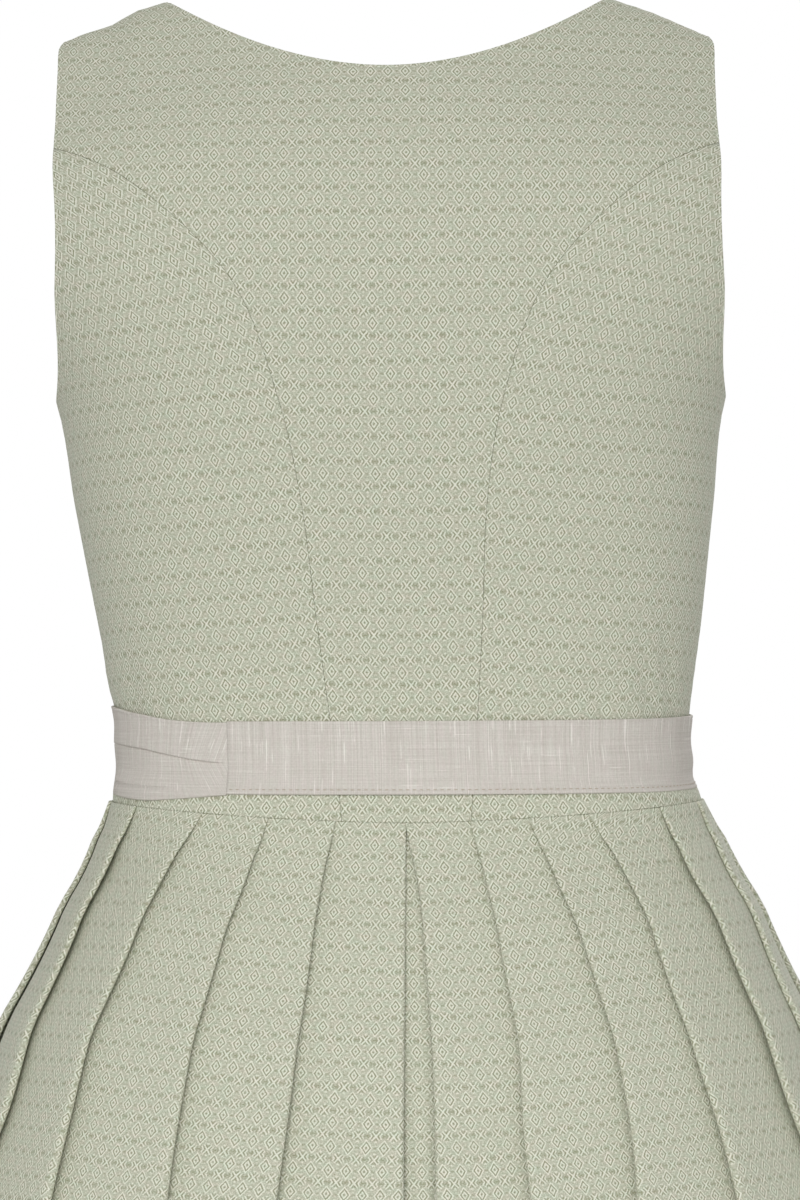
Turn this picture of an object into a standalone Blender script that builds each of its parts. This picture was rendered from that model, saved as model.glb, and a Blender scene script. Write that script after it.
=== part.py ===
"""A sleeveless dirndl: princess-seamed bodice, knife-pleated skirt and linen apron tied in a bow.

It is worn and hollow. Metres, +Z up; the wearer faces -Y, and the wearer's left is +X.
The origin lies between the two shoulder straps, level with the tops of the straps at the neck.
"""

import math

import bmesh
import bpy
import numpy as np
from mathutils import Vector

# ---------------------------------------------------------------- driving sizes, metres
BODICE_WALL = 0.0012
SKIRT_WALL = 0.0010
LINEN_WALL = 0.0012
SEAM_GAP = 0.0003
WAIST_GAP = 0.0009  # nominal: the bodice's edge is a run of chords

WAIST_SEAM = -0.385  # at the centre back and the centre front
SKIRT_LENGTH = 0.700
FOLDS_PER_HALF = 12  # knife pleats from the centre back round to the centre front
PLEAT_CLOTH = 0.0920  # cloth from one fold edge to the next
SIDE_SEAM_FOLD = 6  # the skirt's side seam lies in the underlay of this fold

NECK_HALF_WIDTH = 0.1045
NECK_TOP = 0.0033  # height of the neckline at the shoulder
NECK_DROP_BACK = 0.0320
NECK_DROP_FRONT = 0.153
NECK_ROUND_BACK = 1.92  # power of the neckline's curve
NECK_ROUND_FRONT = 3.2

UNDERARM_STATION = 4.0  # stations below say where these are
SHOULDER_STATION = 8
ARMHOLE_WIDEST = 6.0
SHOULDER_STEP = 0.05  # metres in a station there
TIP_SHORT = 0.12  # stations by which a side panel stops short of its point
ARMHOLE_ANGLE = 38.6  # how far the armhole cuts in from the side, in degrees round the body
ARMHOLE_EASE = 4.2  # by how much less at the shoulder

FRONT_LAP = 0.010  # how far each front runs past the centre front
LAP_CLEAR = 0.0008  # beyond the lap, before the upper front comes down
LAP_RAMP = 0.008  # in which the upper front comes down beside the lower one
BUTTONS = 6
BUTTON_RADIUS = 0.0060
BUTTON_HEIGHT = 0.0030
BUTTONS_TOP = -0.168
BUTTONS_BOTTOM = -0.318

BAND_TOP = -0.336
BAND_BOTTOM = -0.372
BAND_CLEARANCE = 0.0005
BAND_JOIN = 35.5  # degrees from the centre back to where the tie is sewn to the band
KNOT_FROM_FRONT = 24.0  # degrees from the centre front to the knot, on the wearer's left

KNOT_TURN = 3.0  # degrees from the knot's middle to where the band and the tie go under it
KNOT_SIZE = (0.024, 0.013, 0.034)
KNOT_CLEAR = 0.00065  # off the band, and off each bow loop
LAP_TURN = math.radians(22)
LAP_RISE = 0.0021
TIE_TUCK = 0.0016  # the upper half of the tie lies this much proud, along a tuck

APRON_GATHERS = 16
# down from the waist seam, half of the panel's width, its middle plane over the fold edges, height of a gather
APRON_COLUMNS = ("down", "half", "rise", "depth")
APRON_LEVELS = np.array(
    [
        (-0.0124, 0.150, 0.0024, 0.0030),
        (0.0000, 0.152, 0.0026, 0.0034),
        (0.0180, 0.158, 0.0026, 0.0040),
        (0.0480, 0.172, 0.0028, 0.0050),
        (0.1000, 0.198, 0.0030, 0.0070),
        (0.1800, 0.234, 0.0032, 0.0090),
        (0.2900, 0.274, 0.0034, 0.0120),
        (0.4200, 0.312, 0.0034, 0.0140),
        (0.5600, 0.345, 0.0034, 0.0160),
        (0.6720, 0.366, 0.0040, 0.0170),
    ]
)
# down from the waist seam, how far from the knot, half of the strip's width, over the fold edges
TIE_END_COLUMNS = ("down", "across", "half", "rise")
TIE_END = np.array(
    [
        (-0.0134, 0.0058, 0.0052, 0.0066),
        (-0.0105, 0.0066, 0.0060, 0.0080),
        (0.0000, 0.0088, 0.0080, 0.0088),
        (0.0180, 0.0125, 0.0115, 0.0096),
        (0.0480, 0.0165, 0.0145, 0.0115),
        (0.1000, 0.0215, 0.0175, 0.0145),
        (0.1800, 0.0290, 0.0195, 0.0175),
        (0.2600, 0.0360, 0.0200, 0.0205),
    ]
)
# out from the knot, off the band, half of the strip's width
BOW_COLUMNS = ("across", "out", "half")
BOW_LOOP = np.array(
    [
        (0.0000, 0.0080, 0.0095),
        (0.0130, 0.0070, 0.0140),
        (0.0260, 0.0080, 0.0165),
        (0.0390, 0.0098, 0.0175),
        (0.0500, 0.0128, 0.0180),
        (0.0560, 0.0170, 0.0180),
        (0.0510, 0.0220, 0.0180),
        (0.0390, 0.0246, 0.0175),
        (0.0260, 0.0228, 0.0165),
        (0.0130, 0.0160, 0.0140),
        (0.0000, 0.0116, 0.0095),
    ]
)

# One row for each station, from the back waist seam over the shoulder to the front waist seam.
#   depth       from the shoulder line to the cloth at the centre, + to the back
#   height      at the centre
#   drop        how much lower the same station is at the side
#   half_width  of the body there
#   square      0 is an ellipse, more is a flatter back or a fuller bust
#   seam        from the centre to the princess seam
STATION_COLUMNS = ("depth", "height", "drop", "half_width", "square", "seam")
STATIONS = np.array(
    [
        (+0.084, -0.385, -0.008, 0.1400, 0.14, 0.0300),
        (+0.079, -0.345, -0.003, 0.1352, 0.14, 0.0335),
        (+0.083, -0.290, +0.000, 0.1436, 0.14, 0.0386),
        (+0.091, -0.237, +0.000, 0.1515, 0.14, 0.0430),
        (+0.097, -0.187, +0.000, 0.1590, 0.14, 0.0525),
        (+0.098, -0.132, +0.001, 0.1840, 0.16, 0.0740),
        (+0.088, -0.080, +0.010, 0.1960, 0.16, 0.1230),
        (+0.055, -0.027, +0.036, 0.1950, 0.10, 0.1900),
        (+0.000, +0.0275, +0.060, 0.1915, 0.00, 0.2200),
        (-0.043, -0.022, +0.038, 0.1930, 0.10, 0.1900),
        (-0.079, -0.076, +0.014, 0.1930, 0.20, 0.1500),
        (-0.113, -0.132, +0.003, 0.1810, 0.36, 0.1130),
        (-0.137, -0.187, +0.000, 0.1590, 0.52, 0.0930),
        (-0.143, -0.237, +0.000, 0.1515, 0.60, 0.0850),
        (-0.124, -0.290, +0.000, 0.1436, 0.38, 0.0700),
        (-0.114, -0.345, -0.003, 0.1352, 0.18, 0.0600),
        (-0.118, -0.385, -0.008, 0.1400, 0.14, 0.0600),
    ]
)
LAST_STATION = len(STATIONS) - 1

# One row for each level of the skirt.
#   down        below the waist seam
#   half_width, back, front   of the ring that the outer fold edges touch
#   rise_back, rise_side      how far a fold edge stands out from the inner fold behind it
#   roll        radius at which the cloth turns at a fold
#   centre_gap  between the two fold edges that face each other at the centre back
SKIRT_COLUMNS = ("down", "half_width", "back", "front", "rise_back", "rise_side", "roll", "centre_gap")
SKIRT_LEVELS = np.array(
    [
        (0.000, 0.1412, 0.0840, 0.118, 0.0072, 0.0072, 0.0008, 0.0010),
        (0.018, 0.1512, 0.0930, 0.126, 0.0078, 0.0088, 0.0010, 0.0022),
        (0.048, 0.1680, 0.1090, 0.140, 0.0086, 0.0112, 0.0013, 0.0045),
        (0.100, 0.1940, 0.1360, 0.163, 0.0095, 0.0145, 0.0020, 0.0085),
        (0.180, 0.2330, 0.1740, 0.194, 0.0120, 0.0165, 0.0027, 0.0150),
        (0.290, 0.2720, 0.2160, 0.229, 0.0150, 0.0185, 0.0034, 0.0230),
        (0.420, 0.3060, 0.2550, 0.262, 0.0170, 0.0190, 0.0040, 0.0310),
        (0.560, 0.3290, 0.2820, 0.285, 0.0170, 0.0180, 0.0048, 0.0380),
        (0.700, 0.3440, 0.2990, 0.301, 0.0155, 0.0155, 0.0060, 0.0430),
    ]
)
SKIRT_SQUARE = 0.12

SAGE = (0.515, 0.520, 0.415)
SAGE_SHADE = (0.470, 0.478, 0.378)
LINEN = (0.590, 0.560, 0.505)
HORN = (0.300, 0.260, 0.190)


# ---------------------------------------------------------------- shared form
def interpolate(table, at):
    """Rows of table at fractional row numbers, along smooth curves through the rows."""
    at = np.clip(np.asarray(at, float), 0, len(table) - 1)
    low = np.minimum(at.astype(int), len(table) - 2)
    share = (at - low)[..., None]

    def row(number):
        inside = np.clip(number, 0, len(table) - 1)
        past = (number - inside)[..., None]
        step = np.where(past < 0, table[1] - table[0], table[-1] - table[-2])
        return table[inside] + past * step

    a, b, c, d = (row(low + k) for k in (-1, 0, 1, 2))
    curve = 2 * a - 5 * b + 4 * c - d + share * (3 * (b - c) + d - a)
    return b + 0.5 * share * (c - a + share * curve)


def body(station, angle):
    """A point of the bodice's outer face; angle runs from the centre back or front to the side."""
    depth, height, drop, half_width, square, _ = np.moveaxis(interpolate(STATIONS, station), -1, 0)
    sine, cosine = np.sin(angle), np.cos(angle)
    x = half_width * sine * (1 + 0.4 * square * cosine**2)
    y = depth * cosine * (1 + square * sine**2)
    z = height - drop * np.abs(sine) ** 1.5
    return np.stack(np.broadcast_arrays(x, y, z), -1)


def solve(low, high, wrong):
    """Where wrong, which rises from low to high, is nought."""
    low, high = np.asarray(low, float) + 0.0, np.asarray(high, float) + 0.0
    for _ in range(40):
        middle = (low + high) / 2
        above = wrong(middle) > 0
        low, high = np.where(above, low, middle), np.where(above, middle, high)
    return (low + high) / 2


def armhole_angle(station):
    """Angle of the armhole's edge: a quarter of an oval up from the underarm, then gently out to the shoulder."""
    from_end = np.minimum(station, LAST_STATION - station)
    up = np.clip((from_end - UNDERARM_STATION) / (ARMHOLE_WIDEST - UNDERARM_STATION), 0, 1)
    past = np.clip((from_end - ARMHOLE_WIDEST) / (SHOULDER_STATION - ARMHOLE_WIDEST), 0, 1)
    cut_in = ARMHOLE_ANGLE * np.sqrt(1 - (1 - up) ** 2) - ARMHOLE_EASE * past**2
    return math.radians(90) - np.radians(cut_in)


def seam_angle(station):
    """Angle of the princess seam, at most the armhole's."""
    station = np.asarray(station, float)
    wanted = interpolate(STATIONS, station)[..., STATION_COLUMNS.index("seam")]
    edge = armhole_angle(station)
    found = solve(np.zeros_like(station), edge, lambda a: body(station, a)[..., 0] - wanted)
    return np.minimum(found, edge)


def seam_meets_armhole(from_back):
    """The station, counted from the waist seam, at which the princess seam runs into the armhole."""
    sign, first = (1, 0) if from_back else (-1, LAST_STATION)
    wrong = lambda up: seam_angle(first + sign * up) - armhole_angle(first + sign * up) + 1e-6
    return float(solve(UNDERARM_STATION + 0.5, SHOULDER_STATION - 0.5, wrong))


def sideways(station, angle):
    """Metres across for each radian, on the body."""
    step = 1e-4
    return np.linalg.norm(body(station, angle + step) - body(station, angle - step), axis=-1) / (2 * step)


def seam_half_gap(station, edge):
    """Half of the seam's gap as an angle, wider where the seam runs aslant."""
    step = 0.05
    ahead, behind = (body(s, edge(s)) for s in (station + step, station - step))
    along = ahead - behind
    slant = np.abs(along[..., 0]) / np.maximum(np.abs(along[..., 2]), 1e-4)
    gap = SEAM_GAP / 2 * np.hypot(1, np.minimum(slant, 4.0))
    return gap / sideways(station, edge(station))


# ---------------------------------------------------------------- Blender helpers
def material(name, colour, roughness):
    made = bpy.data.materials.new(name)
    made.use_nodes = True
    shader = made.node_tree.nodes["Principled BSDF"]
    shader.inputs["Base Color"].default_value = (*colour, 1)
    shader.inputs["Roughness"].default_value = roughness
    shader.inputs["Metallic"].default_value = 0
    return made


def add_object(name, mesh, finish):
    mesh.materials.append(finish)
    made = bpy.data.objects.new(name, mesh)
    garment.objects.link(made)
    return made


def keep(made, finish):
    """Moves a new primitive into the garment's collection and gives it its material."""
    for home in list(made.users_collection):
        home.objects.unlink(made)
    garment.objects.link(made)
    made.data.materials.append(finish)


def sheet(name, grids, finish, wall, offset=-1.0):
    """Open grids of points, rows by columns, sewn where they meet and given their wall by Solidify.

    They face outwards: rows run up the body, and columns to the right as seen from outside.
    """
    mesh = bpy.data.meshes.new(name)
    made = bmesh.new()
    for points in grids:
        rows, columns = points.shape[:2]
        corners = [[made.verts.new(point) for point in row] for row in points.tolist()]
        for r in range(rows - 1):
            for c in range(columns - 1):
                made.faces.new((corners[r][c], corners[r][c + 1], corners[r + 1][c + 1], corners[r + 1][c]))
    bmesh.ops.remove_doubles(made, verts=made.verts, dist=1e-6)
    made.to_mesh(mesh)
    made.free()
    mesh.shade_smooth()
    added = add_object(name, mesh, finish)
    thicken = added.modifiers.new("wall", "SOLIDIFY")
    thicken.thickness = wall
    thicken.offset = offset
    return added


def mirrored(points):
    """The same grid on the other side of the body, its columns turned round so that it still faces out."""
    return (points * (-1, 1, 1))[:, ::-1]


# ---------------------------------------------------------------- bodice
def neckline(x, from_back):
    drop, power = (NECK_DROP_BACK, NECK_ROUND_BACK) if from_back else (NECK_DROP_FRONT, NECK_ROUND_FRONT)
    return NECK_TOP - drop * (1 - np.abs(x / NECK_HALF_WIDTH) ** power)


def column_angles(station, near, share):
    """The angle of each column: the near ones lie at a distance from the centre, the others share out the rest."""
    across = sideways(station, np.zeros_like(station))
    first = near[-1] / across[:, len(near) :]
    edge = seam_angle(station[:, len(near) :])
    return np.concatenate([near / across[:, : len(near)], first + share * (edge - first)], 1)


def neck_foot(from_back):
    """The station, counted from the waist seam, at the foot of the neckline."""
    sign, first = (1, 0) if from_back else (-1, LAST_STATION)
    wrong = lambda up: body(first + sign * up, 0.0)[..., 2] - neckline(0.0, from_back)
    return float(solve(UNDERARM_STATION, SHOULDER_STATION, wrong))


def centre_panel(rows, near, share, from_back):
    """Half of a centre panel: its rows run from the centre or the lap, or the neckline above, to the princess seam."""
    sign, first = (1, 0) if from_back else (-1, LAST_STATION)
    station = np.repeat(first + sign * rows[:, None], len(near) + len(share), 1)
    angle = column_angles(station, near, share)
    edge = seam_angle(station[:, -1])

    def in_cloth(turn):
        points = body(station[:, -1], turn)
        return neckline(points[..., 0], from_back) - points[..., 2]

    neck = solve(np.zeros_like(edge), edge, in_cloth)[:, None]
    foot = np.flatnonzero(rows < neck_foot(from_back) + 1e-6)[-1]
    spread = (angle[foot] - angle[foot, 0]) / (angle[foot, -1] - angle[foot, 0])
    angle = np.where(np.arange(len(rows))[:, None] > foot, neck + spread * (edge[:, None] - neck), angle)
    short = shoulder_gap(angle)
    station = np.minimum(station, SHOULDER_STATION - short) if from_back else np.maximum(
        station, SHOULDER_STATION + short
    )
    return body(station, clear_of_seam(station, angle))


def shoulder_gap(angle):
    """Stations between a panel's end and the shoulder line."""
    return 0.8 * SEAM_GAP / SHOULDER_STEP / np.cos(angle)


def clear_of_seam(station, angle):
    """The angles with the last column moved in by half of the princess seam's gap, up to the armhole."""
    in_seam = seam_angle(station[:, -1]) < armhole_angle(station[:, -1]) - 1e-5
    angle = angle.copy()
    angle[:, -1] -= np.where(in_seam, seam_half_gap(station[:, -1], seam_angle), 0)
    return angle


def side_panel(rows, columns, low_station):
    """The grid of a side panel, from the princess seam to the side seam and the armhole."""
    station = np.repeat(rows[:, None], len(columns), 1)
    inner = seam_angle(station) + seam_half_gap(station, seam_angle)
    outer = armhole_angle(station)
    at_side = outer > math.radians(90) - 1e-6
    outer = outer - np.where(at_side, 0.6 * SEAM_GAP / sideways(station, outer), 0)
    return body(station, inner + columns[None, :] * (outer - inner))


def lap_lift(x):
    """How far the upper front, the wearer's right, is lifted clear of the lower one."""
    share = np.clip((x + FRONT_LAP + LAP_CLEAR + LAP_RAMP) / LAP_RAMP, 0, 1)
    return (BODICE_WALL + SEAM_GAP) * share * share * (3 - 2 * share)


def raised(points, rows):
    """The upper front lifted over the lower one; past the foot of the neckline the lift fades out."""
    foot = np.flatnonzero(rows < neck_foot(False) + 1e-6)[-1]
    lift = lap_lift(points[..., 0])
    fade = np.clip(1 - (rows - rows[foot]) / 0.35, 0, 1)[:, None]
    lift = np.where(np.arange(len(rows))[:, None] > foot, np.maximum(lift[foot] * fade, 0), lift)
    return points - lift[..., None] * np.array((0, 1, 0))


def panel_rows(between, meet, neck):
    """Rows from the waist seam to the shoulder, with one at the tip of the side panel and one where the seams meet."""
    tip = meet - TIP_SHORT
    low = np.array([0, 0.33, 0.66, 1.0, 1.35, 2, 2.6, 3.3, 4, 4.06, 4.22])
    strap = [7.0, 7.5, 7.97, SHOULDER_STATION]
    rows = np.unique(np.concatenate([low, between, [tip, meet], neck, strap]))
    return rows, rows[rows <= tip]


def build_bodice():
    foot = neck_foot(True) + np.array([0, 0.05, 0.15, 0.35])
    back_rows, back_side_rows = panel_rows([4.6, 5.1, 5.6], seam_meets_armhole(True), foot)
    foot = neck_foot(False) + np.array([0, 0.06, 0.16, 0.32, 0.6, 1.1, 1.7])
    front_rows, front_side_rows = panel_rows([4.45], seam_meets_armhole(False), foot)
    side_columns = np.array([0, 0.22, 0.45, 0.68, 0.9, 1])

    half = centre_panel(back_rows, np.array([0.0]), np.linspace(0, 1, 8)[1:], True)[:, ::-1]
    sheet("back_centre", [half, mirrored(half)], sage, BODICE_WALL)
    side = side_panel(back_side_rows, side_columns, 0)[:, ::-1]
    sheet("back_side_left", [side], sage, BODICE_WALL)
    sheet("back_side_right", [mirrored(side)], sage, BODICE_WALL)

    near = np.array([-FRONT_LAP, 0, FRONT_LAP + LAP_CLEAR, FRONT_LAP + LAP_CLEAR + LAP_RAMP])
    left = centre_panel(front_rows, near, np.linspace(0, 1, 6)[1:], False)
    right = raised(mirrored(left), front_rows)
    sheet("front_centre_left", [left], sage, BODICE_WALL)
    sheet("front_centre_right", [right], sage, BODICE_WALL)
    side = side_panel(LAST_STATION - front_side_rows, side_columns, LAST_STATION)
    sheet("front_side_left", [side], sage, BODICE_WALL)
    sheet("front_side_right", [mirrored(side)], sage, BODICE_WALL)
    return right[:, -2]


def build_buttons(edge):
    """Plain domed buttons down the upper front, each turned to the cloth under it; edge is its centre-front line."""
    for k in range(BUTTONS):
        z = BUTTONS_TOP + (BUTTONS_BOTTOM - BUTTONS_TOP) * k / (BUTTONS - 1)
        above, below = (np.interp(z + by, edge[:, 2], edge[:, 1]) for by in (BUTTON_RADIUS, -BUTTON_RADIUS))
        outward = np.array((0, -2 * BUTTON_RADIUS, above - below))
        outward /= np.linalg.norm(outward)
        seat = np.array((0, min((above + below) / 2, np.interp(z, edge[:, 2], edge[:, 1])), z))
        centre = seat + outward * (SEAM_GAP + BUTTON_HEIGHT / 2)
        bpy.ops.mesh.primitive_cylinder_add(vertices=20, radius=BUTTON_RADIUS, depth=BUTTON_HEIGHT, location=centre)
        made = bpy.context.object
        made.name = f"button_{k + 1}"
        made.rotation_euler = Vector(outward).to_track_quat("Z", "Y").to_euler()
        keep(made, horn)
        rim = made.modifiers.new("rim", "BEVEL")
        rim.width = 0.0009
        rim.segments = 1


# ---------------------------------------------------------------- what goes round the body
def skirt_level(down):
    """The skirt's sizes at a distance below the waist seam."""
    row = np.interp(down, SKIRT_LEVELS[:, 0], np.arange(len(SKIRT_LEVELS)))
    return interpolate(SKIRT_LEVELS, row)


def ring(half_width, back, front, square, count=721):
    """Half a ring from the centre back to the centre front on the wearer's left, as points and their arc lengths."""
    turn = np.linspace(0, math.pi, count)
    depth = np.where(turn < math.pi / 2, back, front)
    sine, cosine = np.sin(turn), np.cos(turn)
    x = half_width * sine * (1 + 0.4 * square * cosine**2)
    y = depth * cosine * (1 + square * sine**2)
    points = np.stack([x, y], -1)
    steps = np.linalg.norm(np.diff(points, axis=0), axis=1)
    return points, np.concatenate([[0], np.cumsum(steps)]), turn


def on_ring(made, along, out):
    """Points at arc lengths along a half ring, moved outwards; also how far to the side each is, 0 to 1."""
    points, arc, turn = made
    step = 0.0005
    behind, place, ahead = (
        np.stack([np.interp(along + by, arc, points[:, k]) for k in (0, 1)], -1) for by in (-step, 0, step)
    )
    tangent = ahead - behind
    tangent /= np.linalg.norm(tangent, axis=-1, keepdims=True)
    outward = np.stack([-tangent[..., 1], tangent[..., 0]], -1)
    return place + out[..., None] * outward, np.sin(np.interp(along, arc, turn))


def waist_rise(sideness):
    """How much higher the waist seam is at the side than at the centre."""
    return -STATIONS[0][2] * np.abs(sideness) ** 1.5


# ---------------------------------------------------------------- skirt
def belt(circles):
    """The path of a belt round circles (u, v, radius, sign), sign +1 where it turns left: tangent points and headings."""
    heads, starts, ends = [], [], []
    for (u1, v1, r1, s1), (u2, v2, r2, s2) in zip(circles[:-1], circles[1:]):
        apart = math.hypot(u2 - u1, v2 - v1)
        lean = np.clip((s2 * r2 - s1 * r1) / apart, -1, 1)
        head = math.atan2(v2 - v1, u2 - u1) - math.asin(lean)
        left = np.array((-math.sin(head), math.cos(head)))
        starts.append(np.array((u1, v1)) - s1 * r1 * left)
        ends.append(np.array((u2, v2)) - s2 * r2 * left)
        heads.append(head)
    return starts, ends, heads


def turned(circle, head_in, head_out, count):
    """count points round a circle from one heading to another."""
    u, v, radius, sign = circle
    heads = np.linspace(head_in, head_out, count)
    left = np.stack([-np.sin(heads), np.cos(heads)], -1)
    return np.array((u, v)) - sign * radius * left


def fold_circles(fold, tuck, rise, roll):
    """The two circles of one fold: the inner one, hidden behind, and the outer one at the fold edge."""
    inner = (fold + tuck, -rise + roll, roll, +1)
    outer = (fold + roll, -roll, roll, -1)
    return inner, outer


def pleat_length(pitch, tuck, rise, roll):
    """Cloth from one fold edge to the next."""
    _, first = fold_circles(0, tuck, rise, roll)
    inner, outer = fold_circles(pitch, tuck, rise, roll)
    starts, ends, heads = belt([first, inner, outer])
    lines = sum(np.linalg.norm(end - start) for start, end in zip(starts, ends))
    return lines + 2 * roll * (heads[1] - heads[0])


def tuck_for(pitch, rise, roll):
    """How far a fold is tucked behind, so that each pleat takes up its cloth."""
    low, high = -0.45 * pitch, 0.97 * pitch
    for _ in range(30):
        middle = (low + high) / 2
        if pleat_length(pitch, middle, rise, roll) > PLEAT_CLOTH:
            high = middle
        else:
            low = middle
    return (low + high) / 2


def pleated_half(down):
    """Half of the skirt's section from the centre back to the centre front, and the point before its side seam."""
    _, half_width, back, front, rise_back, rise_side, roll, centre_gap = skirt_level(down)
    made = ring(half_width, back, front, SKIRT_SQUARE)
    length = made[1][-1]
    pitch = (length - centre_gap / 2) / FOLDS_PER_HALF
    circles = [(0.0, None, 0.0, 1)]
    for k in range(FOLDS_PER_HALF):
        fold = centre_gap / 2 + k * pitch
        sideness = math.sin(math.pi * fold / length)
        rise = rise_back + (rise_side - rise_back) * sideness**2
        tuck = tuck_for(pitch, rise, roll)
        circles += fold_circles(fold, tuck, rise, roll)
    circles[0] = (0.0, circles[1][1] - circles[1][2], 0.0, 1)
    circles.append((length, 0.0, 0.0, 1))
    starts, ends, heads = belt(circles)
    # The three layers of a pleat have their points side by side, so that their flat faces lie parallel.
    side_by_side = np.clip(tuck / (pitch + tuck), 0.33, 0.49)
    parts = [starts[0][None], (starts[0] + 0.5 * (ends[0] - starts[0]))[None]]
    for k in range(1, len(circles) - 1):
        parts.append(turned(circles[k], heads[k - 1], heads[k], 3))
        if k % 2 == 0:
            share = np.array([[side_by_side], [1 - side_by_side]])
            parts.append(starts[k] + share * (ends[k] - starts[k]))
    parts.append(ends[-1][None])
    seam_after = sum(len(p) for p in parts[: 3 + 3 * SIDE_SEAM_FOLD]) - 1
    return made, np.concatenate(parts), seam_after


def skirt_height(level, sideness):
    """Height of a point of the skirt; the waist seam is a little higher at the side than the rows below."""
    top = WAIST_SEAM + waist_rise(sideness)
    return top - WAIST_GAP + level * (WAIST_SEAM - SKIRT_LENGTH - top)


def skirt_section(level):
    """Half a section of the skirt in space, and its last point before the side seam."""
    made, path, seam_after = pleated_half(level * SKIRT_LENGTH)
    place, sideness = on_ring(made, path[:, 0], path[:, 1])
    return np.column_stack([place, skirt_height(level, sideness)]), seam_after


def build_skirt():
    levels = SKIRT_LEVELS[:, 0] / SKIRT_LENGTH
    sections = [skirt_section(level) for level in levels]
    last = sections[0][1]
    half = np.stack([points for points, _ in sections])[::-1]
    middle = (half[:, last] + half[:, last + 1]) / 2
    along = half[:, last + 1] - half[:, last]
    along *= 0.7 * SEAM_GAP / np.linalg.norm(along, axis=-1, keepdims=True)
    back = np.concatenate([half[:, : last + 1], (middle - along)[:, None]], 1)
    front = np.concatenate([(middle + along)[:, None], half[:, last + 1 :]], 1)
    back_whole = np.concatenate([back[:, :0:-1], back * (-1, 1, 1)], 1)
    front_whole = np.concatenate([(front * (-1, 1, 1))[:, :-1], front[:, ::-1]], 1)
    sheet("skirt_back", [back_whole], sage_skirt, SKIRT_WALL, 0.0)
    sheet("skirt_front", [front_whole], sage_skirt, SKIRT_WALL, 0.0)


# ---------------------------------------------------------------- apron
def waist_point(round_angle, z, out):
    """A point outside the bodice at the waist; round_angle runs from the centre back over the wearer's left."""
    turn = np.asarray(round_angle, float) % (2 * math.pi)
    left = turn < math.pi
    from_back = np.where(left, turn, 2 * math.pi - turn)
    behind = from_back < math.pi / 2
    angle = np.where(behind, from_back, math.pi - from_back)
    up = np.interp(z, STATIONS[:4, 1], np.arange(4.0))
    station = np.where(behind, up, LAST_STATION - up)
    step = 1e-3
    place, ahead, back_by = (body(station, angle + by) for by in (0, step, -step))
    along = (ahead - back_by) * np.where(behind, 1, -1)[..., None]
    outward = np.stack([-along[..., 1], along[..., 0], 0 * along[..., 2]], -1)
    outward /= np.linalg.norm(outward, axis=-1, keepdims=True)
    place = place + np.asarray(out)[..., None] * outward
    place[..., 2] = z
    return np.where(left[..., None], place, place * (-1, 1, 1))


def band_out(round_angle):
    """How far the band's outer face lies from the bodice: a little more over the buttoned lap."""
    from_front = np.abs(np.asarray(round_angle) % (2 * math.pi) - math.pi)
    lap = np.clip((LAP_TURN - from_front) / (LAP_TURN / 2), 0, 1)
    return BAND_CLEARANCE + LINEN_WALL + LAP_RISE * lap * lap * (3 - 2 * lap)


def band_strip(first, last, columns, levels, extra):
    """A grid round the waist from one angle to another, in degrees from the centre back over the wearer's left."""
    turn = np.radians(np.linspace(first, last, columns))
    z = np.repeat(np.array(levels)[:, None], columns, 1)
    turn = np.repeat(turn[None], len(levels), 0)
    fade = np.clip(4 * (1 - np.linspace(0, 1, columns)), 0, 1)
    return waist_point(turn, z, band_out(turn) + np.array(extra)[:, None] * fade)


def build_band():
    knot = 180 - KNOT_FROM_FRONT
    levels = np.linspace(BAND_BOTTOM, BAND_TOP, 3)
    join = BAND_JOIN - math.degrees(SEAM_GAP / 2 / 0.11)
    band = band_strip(join, knot - 360 + KNOT_TURN, 60, levels, np.zeros(3))
    sheet("apron_band", [band[:, ::-1]], linen, LINEN_WALL)
    join = BAND_JOIN + math.degrees(SEAM_GAP / 2 / 0.11)
    share = np.array([0, 0.30, 0.52, 0.60, 0.80, 1])
    levels = BAND_BOTTOM + 0.001 + (BAND_TOP - BAND_BOTTOM - 0.002) * share
    tie = band_strip(join, knot - KNOT_TURN, 22, levels, TIE_TUCK * np.array([0, 0, 0, 1, 1, 0.6]))
    sheet("apron_tie", [tie], linen, LINEN_WALL)


def knot_frame():
    """Where the knot is, outwards from it, and along the band towards the wearer's side."""
    turn = math.radians(180 - KNOT_FROM_FRONT)
    seat = waist_point(turn, BAND_BOTTOM, band_out(turn))
    out = waist_point(turn, BAND_BOTTOM, band_out(turn) + 0.01) - seat
    out /= np.linalg.norm(out)
    seat[2] = (BAND_TOP + BAND_BOTTOM) / 2
    return seat, out, np.array((-out[1], out[0], 0)) * (1 if out[1] < 0 else -1)


def strip(name, across, out, fall, half_widths):
    """A tie's strip with its width upright, from distances along the band from the knot and off the band."""
    turn = math.radians(180 - KNOT_FROM_FRONT) - across / waist_radius()
    middle = (BAND_TOP + BAND_BOTTOM) / 2 - fall
    z = middle[None] + np.linspace(-1, 1, 4)[:, None] * half_widths[None]
    turn, out = (np.broadcast_to(values, z.shape) for values in (turn, out))
    points = waist_point(turn, z, band_out(turn) + out)
    sheet(name, [points], linen, LINEN_WALL, 0.0)


def beside_knot(sign, out):
    """Distance along the band at which a loop's end clears the knot's side."""
    seat, _, side = knot_frame()
    middle = math.radians(180 - KNOT_FROM_FRONT)

    def wrong(across):
        turn = middle - sign * across / waist_radius()
        point = waist_point(turn, seat[2], band_out(turn) + out)
        return np.abs(((point - seat) * side).sum(-1)) - KNOT_SIZE[0] / 2 - KNOT_CLEAR

    return float(solve(0.0, 0.03, wrong))


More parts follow.
